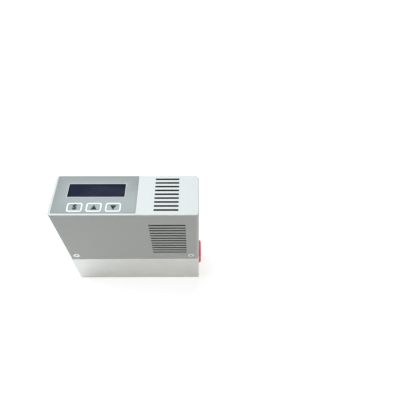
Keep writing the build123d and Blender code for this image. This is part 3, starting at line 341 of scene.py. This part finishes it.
def apply_modifier(piece, kind, **values):
    """Add a modifier with its values and apply it."""
    bpy.ops.object.mode_set(mode="OBJECT")
    choose(piece)
    modifier = piece.modifiers.new(kind.lower(), kind)
    for label, value in values.items():
        setattr(modifier, label, value)
    bpy.ops.object.modifier_apply(modifier=modifier.name)


def join_on(piece, others):
    """Make other objects part of a piece."""
    choose(piece)
    for other in others:
        other.select_set(True)
    bpy.ops.object.join()


def repeat(piece, places):
    """Join copies to a piece, each with its own mesh: turned about Z, then moved."""
    bpy.ops.object.mode_set(mode="OBJECT")
    copies = []
    for move, turn in places:
        choose(piece)
        bpy.ops.object.duplicate(linked=False)
        twin = bpy.context.object
        twin.rotation_euler = (0, 0, turn)
        twin.location = move
        bpy.ops.object.transform_apply(location=True, rotation=True, scale=True)
        copies.append(twin)
    join_on(piece, copies)


def finish_piece(piece, material, body, slot_name, *nodes, angle=35):
    """Close a piece: smooth shading, material, the body that it rides on and what it replaces."""
    bpy.ops.object.mode_set(mode="OBJECT")
    choose(piece)
    bpy.ops.object.shade_smooth_by_angle(angle=math.radians(angle))
    set_material(piece, material)
    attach(piece, body)
    if nodes:
        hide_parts(*nodes)


def cut_thread(
    name, radius, pitch, turns, ridge, material, slot_name, first, others, turn_axis=None
):
    """The ridges of a tapped hole: a triangular profile screwed round the hole's axis."""
    piece = start_piece(
        name, bpy.ops.mesh.primitive_circle_add, vertices=3, radius=ridge,
        location=(radius - ridge / 2, 0, pitch), rotation=(math.pi / 2, 0, 0),
    )
    apply_modifier(
        piece, "SCREW", axis="Z", screw_offset=pitch, angle=2 * math.pi, iterations=turns,
        steps=thread_steps, render_steps=thread_steps, use_normal_calculate=True,
    )
    bpy.ops.object.mode_set(mode="EDIT")
    pick(piece, "EDGE", lambda edge: edge.is_boundary)
    bpy.ops.mesh.fill()
    bpy.ops.mesh.select_all(action="SELECT")
    bpy.ops.mesh.normals_make_consistent(inside=False)
    bpy.ops.object.mode_set(mode="OBJECT")
    choose(piece)
    if turn_axis:
        piece.rotation_euler = turn_axis
    piece.location = first
    bpy.ops.object.transform_apply(location=True, rotation=True, scale=True)
    repeat(piece, others)
    finish_piece(piece, material, "root", slot_name, angle=20)


cut_thread(
    "mount_threads", mount_hole_radius, mount_thread_pitch, mount_thread_turns, mount_thread_ridge,
    bar_metal, "base_steel", (-mount_hole_x, 0, -mount_thread_pitch / 2),
    [((2 * mount_hole_x, 0, 0), 0)],
)

# Block screws: socket head screws of plated steel that pull both blocks together; their heads
# sit in counterbores in the outlet end face.
steel_dark = (0.70, 0.71, 0.72)
steel_light = (0.80, 0.80, 0.80)
steel_roughness = 0.24
turned_grain = (3000, 3000, 3000)
plated_steel = ground_metal(
    "plated_screw_steel", dark=steel_dark, light=steel_light, roughness=steel_roughness,
    grain=turned_grain,
)
dress(
    plated_steel, "block_screws", "sensor_screws", "valve_screws", "board_screws", "display_screws"
)

# Seals: black rubber rings between the two blocks, under the sensor and round the valve's guide
# tube, and the soft disc of the plunger that closes on the valve's seat.
coat_detail = 2.0
coat_speckle_share = 0.35
coat_rough_spread = 0.04
usual_peel = 900
usual_speckle = 4000
usual_coat_depth = 0.00001

matt_coat, coat_in, coat_out = new_group(
    "matt_coat",
    [("Peel", "NodeSocketFloat", usual_peel), ("Speckle", "NodeSocketFloat", usual_speckle)],
    [("Height", "NodeSocketFloat"), ("Tone", "NodeSocketFloat")],
)
coat_place = matt_coat.nodes.new("ShaderNodeTexCoord")
coat_peel = add_noise(matt_coat, coat_place.outputs["Object"], usual_peel, coat_detail)
coat_speckle = add_noise(matt_coat, coat_place.outputs["Object"], usual_speckle, coat_detail)
matt_coat.links.new(coat_in.outputs["Peel"], coat_peel.inputs["Scale"])
matt_coat.links.new(coat_in.outputs["Speckle"], coat_speckle.inputs["Scale"])
coat_height = add_math(
    matt_coat, "MULTIPLY_ADD", coat_speckle.outputs["Fac"], coat_speckle_share,
    coat_peel.outputs["Fac"],
)
matt_coat.links.new(coat_height, coat_out.inputs["Height"])
matt_coat.links.new(coat_speckle.outputs["Fac"], coat_out.inputs["Tone"])


def coated(
    name, dark, light, roughness, peel=usual_peel, speckle=usual_speckle, depth=usual_coat_depth,
    metallic=0.0, shine=0.5,
):
    """A coated or moulded surface with a fine, even texture."""
    material, tree, shader = new_material(name)
    shader.inputs["Metallic"].default_value = metallic
    shader.inputs["Specular IOR Level"].default_value = shine
    coat = add_group(tree, matt_coat, peel=peel, speckle=speckle)
    tone = two_tone(tree, coat.outputs["Tone"], dark, light)
    tree.links.new(tone, shader.inputs["Base Color"])
    smoothest, roughest = roughness - coat_rough_spread, roughness + coat_rough_spread
    rough = spread(tree, coat.outputs["Tone"], smoothest, roughest)
    tree.links.new(rough, shader.inputs["Roughness"])
    add_bump(tree, shader, coat.outputs["Height"], depth)
    return material


seal_rubber = coated(
    "seal_rubber", dark=(0.02, 0.02, 0.02), light=(0.035, 0.035, 0.035), roughness=0.6, peel=1200,
    speckle=5000,
)
dress(seal_rubber, "block_seal", "sensor_seals", "sleeve_seal", "plunger_disc")

# Gas path and flow sensor: turned stainless steel pieces, a bent capillary tube with two copper
# windings, and a black moulded shell over them.
stainless = ground_metal(
    "turned_stainless", dark=(0.58, 0.58, 0.57), light=(0.66, 0.66, 0.65), roughness=0.3,
    grain=(3000, 3000, 900),
)
dress(stainless, "flow_element", "sensor_base", "sensor_tube", "board_brackets", "inlet_filter")
black_moulding = coated(
    "black_moulding", dark=(0.018, 0.018, 0.02), light=(0.03, 0.03, 0.033), roughness=0.45
)
copper = coated(
    "enamelled_copper", dark=(0.40, 0.14, 0.05), light=(0.52, 0.20, 0.08), roughness=0.3,
    depth=0.00002, metallic=0.8,
)
dress(copper, "sensor_windings")
dress(black_moulding, "sensor_shell")

# Valve and its coil: stainless seat, guide tube, spring and plate, soft iron plunger, core and
# yoke with a dark oxide finish, and a copper coil on a black bobbin.
dress(stainless, "valve_seat", "valve_sleeve", "valve_spring", "valve_plate")
soft_iron = ground_metal(
    "oxide_finish_iron", dark=(0.035, 0.036, 0.04), light=(0.05, 0.051, 0.056), roughness=0.45,
    grain=(900, 900, 3000),
)
dress(soft_iron, "valve_plunger", "valve_core", "coil_yoke", "coil_nut")
dress(black_moulding, "coil_bobbin")
dress(copper, "coil_winding")
lead_yellow = coated(
    "lead_insulation", dark=(0.55, 0.42, 0.04), light=(0.65, 0.5, 0.06), roughness=0.45
)
dress(lead_yellow, "valve_leads")

# Electronics: the main board on its brackets, the display board on studs under the window and
# the small board behind the signal plug. Green boards, black components, ivory sockets, and
# amber flexible links between the boards.
board_green = coated(
    "solder_mask", dark=(0.012, 0.10, 0.035), light=(0.02, 0.14, 0.05), roughness=0.3
)
dress(board_green, "main_board", "display_board", "connector_board")
dress(
    black_moulding, "main_components", "key_switches",
    "set_key_stem", "up_key_stem", "down_key_stem",
)
ivory_socket = coated(
    "ivory_socket", dark=(0.62, 0.58, 0.48), light=(0.70, 0.66, 0.56), roughness=0.5
)
dress(ivory_socket, "link_sockets")
flex_film = coated("flex_film", dark=(0.45, 0.20, 0.03), light=(0.55, 0.26, 0.05), roughness=0.3)
dress(flex_film, "sensor_link", "display_link", "signal_link")
dress(stainless, "display_studs")

# Signal plug in the left wall: nickel-plated drawn shell, black moulded insulator with nine
# turned gold pins, their tips rounded, and two hexagon posts with an inner thread each.
signal_z = 0.053
wall_left = -0.0415
pin_radius = 0.0005
pin_front = -0.0454
pin_back = -0.0320
pin_tip_round = 0.0003
pin_spacing = 0.00277
pin_row_y = 0.00142
post_spacing = 0.02499
post_width = 0.0048
post_length = 0.0052
post_edge = 0.0003
post_corner = 0.0001
post_bore_radius = 0.00113
post_bore_depth = 0.004
post_shank_radius = 0.00142
post_shank_length = 0.0045
post_thread_pitch = 0.000635
post_thread_turns = 5
post_thread_ridge = 0.00014
post_thread_start = 0.0001
hair = 0.000001

nickel = ground_metal(
    "nickel_plate", dark=(0.60, 0.58, 0.53), light=(0.68, 0.66, 0.61), roughness=0.25,
    grain=(2500, 2500, 2500),
)
dress(nickel, "signal_shell")
dress(black_moulding, "signal_insulator")
gold = ground_metal(
    "gold_flash", dark=(0.86, 0.60, 0.25), light=(0.93, 0.68, 0.32), roughness=0.2,
    grain=(2500, 2500, 2500),
)

pins = start_piece(
    "round_tip_pins", bpy.ops.mesh.primitive_cylinder_add, vertices=20, radius=pin_radius,
    depth=pin_back - pin_front, rotation=(0, math.pi / 2, 0),
    location=((pin_front + pin_back) / 2, -pin_row_y, signal_z - 2 * pin_spacing),
)
pick(pins, "EDGE", lambda edge: middle(edge).x < pin_front + hair)
bevel_picked(pin_tip_round, 3)
repeat(
    pins,
    [((0, 0, place * pin_spacing), 0) for place in (1, 2, 3, 4)]
    + [((0, 2 * pin_row_y, (place + 0.5) * pin_spacing), 0) for place in (0, 1, 2, 3)],
)
finish_piece(pins, gold, "root", "pin_gold", "signal_pins")


def combine(piece, other, operation="DIFFERENCE"):
    """Cut another solid out of a piece, or join it on, and remove it."""
    bpy.ops.object.mode_set(mode="OBJECT")
    apply_modifier(piece, "BOOLEAN", object=other, operation=operation, solver="EXACT")
    choose(other)
    bpy.ops.object.delete()
    choose(piece)


post_z = signal_z - post_spacing / 2
posts = start_piece(
    "threaded_posts", bpy.ops.mesh.primitive_cylinder_add, vertices=6,
    radius=post_width / 2 / math.cos(math.pi / 6), depth=post_length,
    rotation=(0, math.pi / 2, 0), location=(wall_left - post_length / 2, 0, post_z),
)
pick(posts, "EDGE", lambda edge: middle(edge).x < wall_left - post_length + hair)
bevel_picked(post_edge, 2)
pick(posts, "EDGE", lambda edge: runs_along(edge, 0))
bevel_picked(post_corner, 2)
bpy.ops.object.mode_set(mode="OBJECT")
post_bore = start_piece(
    "post_bore", bpy.ops.mesh.primitive_cylinder_add, vertices=32, radius=post_bore_radius,
    depth=2 * post_bore_depth, rotation=(0, math.pi / 2, 0),
    location=(wall_left - post_length, 0, post_z),
)
combine(posts, post_bore)
bpy.ops.mesh.primitive_cylinder_add(
    vertices=24, radius=post_shank_radius, depth=post_shank_length,
    rotation=(0, math.pi / 2, 0), location=(wall_left + post_shank_length / 2, 0, post_z),
)
post_shank = bpy.context.object
bpy.ops.object.transform_apply(location=True, rotation=True, scale=True)
join_on(posts, [post_shank])
repeat(posts, [((0, 0, post_spacing), 0)])
finish_piece(posts, nickel, "root", "connector_shell", "jack_posts")
cut_thread(
    "post_threads", post_bore_radius, post_thread_pitch, post_thread_turns, post_thread_ridge,
    nickel, "connector_shell", (wall_left - post_length + post_thread_start, 0, post_z),
    [((0, 0, post_spacing), 0)], turn_axis=(0, math.pi / 2, 0),
)

# Cover: a thin-walled metal box with a fine matt grey coat. It slips over the
# base's spigot and is held by four screws. Its inside, the walls of its vent slots and a thin band
# at its lower lip are painted near black as shade.
coat_dark = (0.520, 0.512, 0.496)
coat_light = (0.592, 0.583, 0.565)
inside_painted_shade = (0.02, 0.02, 0.022)
cover_half_length = 0.0415
cover_half_width = 0.014
cover_skin = 0.0006
cover_top_z = 0.079
cover_lip_z = 0.02815
lip_shade_band = 0.0003
side_vent_middle = (0.0233, 0, 0.053)
side_vent_half_size = (0.0108, 0.01396, 0.0166)
top_vent_middle = (0.0233, 0.0004, 0.0782)
top_vent_half_size = (0.0072, 0.0117, 0.00076)

cover_coat = coated(
    "grey_cover_coat", dark=coat_dark, light=coat_light, roughness=0.45, peel=700, speckle=3800
)
place_mask, place_in, place_out = new_group(
    "place_mask",
    [("Centre", "NodeSocketVector", (0, 0, 0)), ("Half Size", "NodeSocketVector", (1, 1, 1))],
    [("Inside", "NodeSocketFloat")],
)
place_coordinates = place_mask.nodes.new("ShaderNodeTexCoord")
place_apart = place_mask.nodes.new("ShaderNodeVectorMath")
place_apart.operation = "SUBTRACT"
place_mask.links.new(place_coordinates.outputs["Object"], place_apart.inputs[0])
place_mask.links.new(place_in.outputs["Centre"], place_apart.inputs[1])
place_distance = place_mask.nodes.new("ShaderNodeVectorMath")
place_distance.operation = "ABSOLUTE"
place_mask.links.new(place_apart.outputs[0], place_distance.inputs[0])
place_step = place_mask.nodes.new("ShaderNodeVectorMath")
place_step.operation = "SUBTRACT"
place_mask.links.new(place_in.outputs["Half Size"], place_step.inputs[0])
place_mask.links.new(place_distance.outputs[0], place_step.inputs[1])
place_axes = place_mask.nodes.new("ShaderNodeSeparateXYZ")
place_mask.links.new(place_step.outputs[0], place_axes.inputs[0])
place_least = add_math(place_mask, "MINIMUM", place_axes.outputs[0], place_axes.outputs[1])
place_lowest = add_math(place_mask, "MINIMUM", place_least, place_axes.outputs[2])
place_test = add_math(place_mask, "GREATER_THAN", place_lowest, 0.0)
place_mask.links.new(place_test, place_out.inputs["Inside"])


def tint_boxes(material, colour, *boxes, outside=False):
    """Give a material a second colour inside the boxes, or outside them all. Each box is its
    middle and half its size."""
    tree = material.node_tree
    shader = tree.nodes["Principled BSDF"]
    own_tone = shader.inputs["Base Color"].links[0].from_socket
    share = None
    for centre, half_size in boxes:
        inside = add_group(tree, place_mask, centre=centre, half_size=half_size).outputs["Inside"]
        share = inside if share is None else add_math(tree, "MAXIMUM", share, inside)
    mix = tree.nodes.new("ShaderNodeMix")
    mix.data_type = "RGBA"
    own, second = ("B", "A") if outside else ("A", "B")
    mix.inputs[second].default_value = (*colour, 1)
    tree.links.new(share, mix.inputs["Factor"])
    tree.links.new(own_tone, mix.inputs[own])
    tree.links.new(mix.outputs["Result"], shader.inputs["Base Color"])


# Painted shade: the inside of the box, the vent slot walls and a 0.3 mm band at the lip edge are
# coloured near black, standing in for the shade there.
cover_inside = (
    cover_half_length - cover_skin, cover_half_width - cover_skin, cover_top_z - cover_skin
)
tint_boxes(
    cover_coat, inside_painted_shade, ((0, 0, 0), cover_inside), (side_vent_middle, side_vent_half_size),
    (top_vent_middle, top_vent_half_size), ((0, 0, cover_lip_z), (1, 1, lip_shade_band)),
)
dress(cover_coat, "cover")

# Cover screws: four small countersunk screws, bright plated, with a cross recess painted near
# black as shade and a turned edge, two in the front and two in the back.
cover_screw_x = 0.0365
cover_screw_z = 0.0327
cover_screw_radius = 0.0022
cover_shank_radius = 0.00125
cover_cone_height = 0.00095
cover_shank_end = 0.006
cover_screw_edge = 0.00012
cross_length = 0.0017
cross_width = 0.0007
cross_bottom = 0.45
cross_depth = 0.0009
recess_painted_shade = (0.015, 0.015, 0.016)
recess_skin = 0.00005
flat_face = 0.9999

screw_row = start_piece(
    "cross_screws", bpy.ops.mesh.primitive_cone_add, vertices=48, radius1=cover_screw_radius,
    radius2=cover_shank_radius, depth=cover_cone_height, rotation=(-math.pi / 2, 0, 0),
    location=(-cover_screw_x, -cover_half_width + cover_cone_height / 2, cover_screw_z),
)
pick(screw_row, "EDGE", lambda edge: middle(edge).y < -cover_half_width + hair)
bevel_picked(cover_screw_edge, 3)
pick(screw_row, "FACE", lambda face: face.normal.y > flat_face)
bpy.ops.mesh.extrude_region_move(
    TRANSFORM_OT_translate={"value": (0, cover_shank_end - cover_cone_height, 0)}
)
bpy.ops.object.mode_set(mode="OBJECT")
for cross_size in ((cross_length, cross_width), (cross_width, cross_length)):
    cross_cutter = start_piece(
        "cross_cutter", bpy.ops.mesh.primitive_cube_add, size=1,
        location=(-cover_screw_x, -cover_half_width, cover_screw_z),
        box_size=(cross_size[0], 2 * cross_depth, cross_size[1]),
    )
    pick(cross_cutter, "FACE", lambda face: face.normal.y > flat_face)
    bpy.ops.transform.resize(
        value=(cross_bottom, 1, cross_bottom),
        center_override=(-cover_screw_x, -cover_half_width, cover_screw_z),
    )
    combine(screw_row, cross_cutter)
repeat(
    screw_row,
    [((2 * cover_screw_x, 0, 0), 0), ((0, 0, 0), math.pi), ((-2 * cover_screw_x, 0, 0), math.pi)],
)
screw_face = ground_metal(
    "bright_screw_steel", dark=steel_dark, light=steel_light, roughness=0.2, grain=turned_grain
)
# Painted shade: the cross recess and all of each screw behind its face are coloured near black.
tint_boxes(screw_face, recess_painted_shade, ((0, 0, 0), (1, cover_half_width - recess_skin, 1)))
finish_piece(screw_row, screw_face, "root", "screw_steel", "cover_screws")

# Display: a black four-digit module on the display board, under the window. Its unlit segments
# are thin bars of pale resin, seven to a digit.
module_top = 0.0766
window_middle = (-0.0165, 0.00297)
digit_count = 4
digit_pitch = 0.0072
digit_height = 0.0068
digit_width = 0.0040
segment_width = 0.0007
segment_gap = 0.0002
segment_rise = 0.00006
segment_point = 0.48
dress(black_moulding, "display_module")

segment_long = digit_height / 2 - segment_gap
segment_short = digit_width - segment_gap
digits_left = window_middle[0] - (digit_count - 1) / 2 * digit_pitch


def add_segment(name, length, place, upright):
    """One bar of a seven-segment digit: a thin slab with pointed ends."""
    size = (segment_width, length) if upright else (length, segment_width)
    bar = start_piece(
        name, bpy.ops.mesh.primitive_cube_add, size=1,
        location=(*place, module_top + segment_rise / 2), box_size=(*size, segment_rise),
    )
    pick(bar, "EDGE", lambda edge: runs_along(edge, 2))
    bevel_picked(segment_width * segment_point, 1)
    bpy.ops.object.mode_set(mode="OBJECT")
    return bar


digit_bars = []
for row in (-1, 0, 1):
    place = (digits_left, window_middle[1] + row * digit_height / 2)
    digit_bars.append(add_segment("digit_bar", segment_short, place, False))
for side in (-1, 1):
    for row in (-0.5, 0.5):
        place = (digits_left + side * digit_width / 2, window_middle[1] + row * digit_height / 2)
        digit_bars.append(add_segment("digit_bar", segment_long, place, True))
digits = digit_bars[0]
join_on(digits, digit_bars[1:])
digits.name = "digit_segments"
repeat(digits, [((place * digit_pitch, 0, 0), 0) for place in range(1, digit_count)])
segment_resin = coated(
    "unlit_segment_resin", dark=(0.34, 0.34, 0.36), light=(0.40, 0.40, 0.42), roughness=0.5,
    depth=0.000005,
)
finish_piece(digits, segment_resin, "root", "module_dark")

# Window: smoke-blue acrylic, polished, bonded in from behind and flush with the film. A darker
# printed border runs round it, and the unlit digits show faintly through it.
window_length = 0.0323
window_width = 0.0092
window_corner = 0.0003
window_flange = 0.0015
window_flange_top = 0.0778
window_flange_depth = 0.001
window_flange_corner = 0.001
window_top = 0.0793
window_edge = 0.00006
window_colour = (0.020, 0.023, 0.047)
window_dark_share = 0.92
window_alpha = 0.72
window_roughness = 0.16
window_shine = 0.03
window_peel = 300
window_speckle = 2500
window_border = 0.0005
border_colour = (0.004, 0.005, 0.012)

window = start_piece(
    "acrylic_window", bpy.ops.mesh.primitive_cube_add, size=1,
    location=(*window_middle, (window_flange_top + window_top) / 2),
    box_size=(window_length, window_width, window_top - window_flange_top),
)
pick(window, "EDGE", lambda edge: runs_along(edge, 2))
bevel_picked(window_corner, 3)
pick(window, "EDGE", lambda edge: middle(edge).z > window_top - hair and not runs_along(edge, 2))
bevel_picked(window_edge, 2)
bpy.ops.object.mode_set(mode="OBJECT")
window_foot = start_piece(
    "window_foot", bpy.ops.mesh.primitive_cube_add, size=1,
    location=(*window_middle, window_flange_top - window_flange_depth / 2),
    box_size=(
        window_length + 2 * window_flange, window_width + 2 * window_flange, window_flange_depth
    ),
)
pick(window_foot, "EDGE", lambda edge: runs_along(edge, 2))
bevel_picked(window_flange_corner, 3)
combine(window, window_foot, "UNION")

acrylic, acrylic_tree, acrylic_shader = new_material("smoke_blue_acrylic")
acrylic_shader.inputs["Roughness"].default_value = window_roughness
acrylic_shader.inputs["Specular IOR Level"].default_value = window_shine
acrylic_shader.inputs["Alpha"].default_value = window_alpha
acrylic_coat = add_group(acrylic_tree, matt_coat, peel=window_peel, speckle=window_speckle)
window_dark = [window_dark_share * part for part in window_colour]
acrylic_tone = two_tone(acrylic_tree, acrylic_coat.outputs["Tone"], window_dark, window_colour)
acrylic_tree.links.new(acrylic_tone, acrylic_shader.inputs["Base Color"])
window_inside = (window_length / 2 - window_border, window_width / 2 - window_border, 1)
tint_boxes(acrylic, border_colour, ((*window_middle, 0), window_inside), outside=True)
finish_piece(window, acrylic, "root", "window_tint", "display_window")

# Keypad film: printed polyester glued on the cover's top, fine matt, grey green, with a window
# cut-out, and a thin pale band painted round the cut-out as a highlight along its edge.
film_left = -0.0400
film_right = 0.0066
film_front = -0.0125
film_back = 0.0134
film_bottom = 0.079
film_top = 0.0793
film_corner = 0.0003
film_edge = 0.00006
film_slip = 0.00005
film_cutter_height = 0.002
film_dark = (0.226, 0.238, 0.230)
film_light = (0.252, 0.264, 0.255)
rim_painted_highlight = (0.72, 0.75, 0.74)
highlight_band = 0.00022
print_peel = 1500
print_speckle = 6000
print_depth = 0.000004

film = start_piece(
    "printed_film", bpy.ops.mesh.primitive_cube_add, size=1,
    location=(
        (film_left + film_right) / 2, (film_front + film_back) / 2, (film_bottom + film_top) / 2
    ),
    box_size=(film_right - film_left, film_back - film_front, film_top - film_bottom),
)
pick(film, "EDGE", lambda edge: runs_along(edge, 2))
bevel_picked(film_corner, 5)
pick(film, "EDGE", lambda edge: middle(edge).z > film_top - hair and not runs_along(edge, 2))
bevel_picked(film_edge, 2)
bpy.ops.object.mode_set(mode="OBJECT")
film_cutter = start_piece(
    "film_cutter", bpy.ops.mesh.primitive_cube_add, size=1, location=(*window_middle, film_top),
    box_size=(window_length + 2 * film_slip, window_width + 2 * film_slip, film_cutter_height),
)
pick(film_cutter, "EDGE", lambda edge: runs_along(edge, 2))
bevel_picked(window_corner, 3)
combine(film, film_cutter)
film_print = coated(
    "grey_green_film", dark=film_dark, light=film_light, roughness=0.42, peel=print_peel,
    speckle=print_speckle, depth=print_depth,
)
# Painted highlight: a band 0.22 mm wide on the film round the window is coloured pale.
highlight_inside = (window_length / 2 + highlight_band, window_width / 2 + highlight_band, 1)
tint_boxes(film_print, rim_painted_highlight, ((*window_middle, 0), highlight_inside))
finish_piece(film, film_print, "root", "film_grey", "keypad_film")

# Key rings: three white rims printed thick on the film, one round each key, so that a finger
# finds the keys.
key_pitch = 0.01065
key_y = -0.0088
key_length = 0.0085
key_width = 0.0059
key_corner = 0.0013
key_rim = 0.0007
key_rise = 0.00015
key_edge = 0.00005
sharp_angle = 1.0

rings = start_piece(
    "key_rings", bpy.ops.mesh.primitive_cube_add, size=1,
    location=(window_middle[0] - key_pitch, key_y, film_top + key_rise / 2),
    box_size=(key_length, key_width, key_rise),
)
pick(rings, "EDGE", lambda edge: runs_along(edge, 2))
bevel_picked(key_corner, 6)
bpy.ops.object.mode_set(mode="OBJECT")
ring_opening = start_piece(
    "ring_opening", bpy.ops.mesh.primitive_cube_add, size=1,
    location=(window_middle[0] - key_pitch, key_y, film_top),
    box_size=(key_length - 2 * key_rim, key_width - 2 * key_rim, 4 * key_rise),
)
pick(ring_opening, "EDGE", lambda edge: runs_along(edge, 2))
bevel_picked(key_corner - key_rim, 5)
combine(rings, ring_opening)
bpy.ops.object.mode_set(mode="EDIT")
pick(
    rings, "EDGE",
    lambda edge: middle(edge).z > film_top + key_rise - hair
    and edge.calc_face_angle(0) > sharp_angle,
)
bevel_picked(key_edge, 2)
repeat(rings, [((key_pitch, 0, 0), 0), ((2 * key_pitch, 0, 0), 0)])
key_white = coated(
    "key_print_white", dark=(0.76, 0.79, 0.79), light=(0.82, 0.84, 0.84), roughness=0.4,
    peel=print_peel, speckle=print_speckle, depth=print_depth,
)
finish_piece(rings, key_white, "root", "film_grey")

# Key marks: a letter S in the left ring, and a triangle that points up and one that points down
# in the others, printed black and a hair thick.
mark_rise = 0.00003
mark_size = 0.0043
letter_weight = 0.00026
letter_lift = 0.0001
triangle_radius = 0.00205
triangle_shift = 0.0004

bpy.ops.object.select_all(action="DESELECT")
bpy.ops.object.text_add(location=(0, 0, 0))
letter = bpy.context.object
letter.name = "key_marks"
letter.data.body = "S"
letter.data.size = mark_size
letter.data.extrude = mark_rise / 2
letter.data.offset = letter_weight
letter.data.align_x = "CENTER"
letter.data.align_y = "CENTER"
letter.data.resolution_u = 6
choose(letter)
bpy.ops.object.convert(target="MESH")
letter = bpy.context.object
letter.location = (window_middle[0] - key_pitch, key_y + letter_lift, film_top + mark_rise / 2)
bpy.ops.object.transform_apply(location=True, rotation=True, scale=True)
triangle_marks = []
for place, turn, shift in ((0, 0, -triangle_shift), (1, math.pi, triangle_shift)):
    bpy.ops.object.select_all(action="DESELECT")
    bpy.ops.mesh.primitive_cylinder_add(
        vertices=3, radius=triangle_radius, depth=mark_rise, rotation=(0, 0, turn),
        location=(window_middle[0] + place * key_pitch, key_y + shift, film_top + mark_rise / 2),
    )
    bpy.ops.object.transform_apply(location=True, rotation=True, scale=True)
    triangle_marks.append(bpy.context.object)
join_on(letter, triangle_marks)
mark_black = coated(
    "mark_print_black", dark=(0.018, 0.019, 0.02), light=(0.025, 0.026, 0.028), roughness=0.6,
    peel=print_peel, speckle=print_speckle, depth=print_depth, shine=0.1,
)
finish_piece(letter, mark_black, "root", "film_grey")

# Shipping plugs: soft red polyethylene caps pressed into both gas ports. The flange has a soft
# edge and a shallow recess, and the shank is a hollow tube.
port_z = 0.0125
plug_radius = 0.0078
plug_thickness = 0.0015
plug_edge = 0.0010
plug_recess_radius = 0.0045
plug_recess_depth = 0.0007
plug_recess_edge = 0.00025
recess_rim_slack = 0.00003
plug_shank_radius = 0.00585
plug_shank_length = 0.0085
plug_shank_wall = 0.0012
plug_red = coated(
    "red_plug_plastic", dark=(0.86, 0.09, 0.13), light=(0.93, 0.11, 0.16), roughness=0.36,
    peel=500, speckle=3000,
)


def off_axis(item):
    """How far the middle of a face or an edge is from the port's axis."""
    return math.hypot(middle(item).y, middle(item).z - port_z)


for side, node_name in ((-1, "inlet_plug"), (1, "outlet_plug")):
    plug = start_piece(
        "soft_" + node_name, bpy.ops.mesh.primitive_cylinder_add, vertices=72, radius=plug_radius,
        depth=plug_thickness, rotation=(0, math.pi / 2, 0),
        location=(side * (cover_half_length + plug_thickness / 2), 0, port_z),
    )
    outer_x = cover_half_length + plug_thickness
    pick(plug, "EDGE", lambda edge: side * middle(edge).x > outer_x - hair)
    bevel_picked(plug_edge, 6)
    pick(plug, "FACE", lambda face: side * face.normal.x > flat_face)
    bpy.ops.mesh.inset(thickness=plug_radius - plug_edge - plug_recess_radius)
    bpy.ops.mesh.extrude_region_move(
        TRANSFORM_OT_translate={"value": (-side * plug_recess_depth, 0, 0)}
    )
    pick(
        plug, "EDGE",
        lambda edge: abs(off_axis(edge) - plug_recess_radius) < recess_rim_slack
        and not runs_along(edge, 0),
    )
    bevel_picked(plug_recess_edge, 3)
    pick(
        plug, "FACE",
        lambda face: -side * face.normal.x > flat_face
        and side * middle(face).x < cover_half_length + hair,
    )
    bpy.ops.mesh.inset(thickness=plug_radius - plug_shank_radius)
    bpy.ops.mesh.extrude_region_move(
        TRANSFORM_OT_translate={"value": (-side * plug_shank_length, 0, 0)}
    )
    bpy.ops.mesh.inset(thickness=plug_shank_wall)
    bpy.ops.mesh.extrude_region_move(
        TRANSFORM_OT_translate={"value": (side * plug_shank_length, 0, 0)}
    )
    finish_piece(plug, plug_red, "root", "red_plastic", node_name)
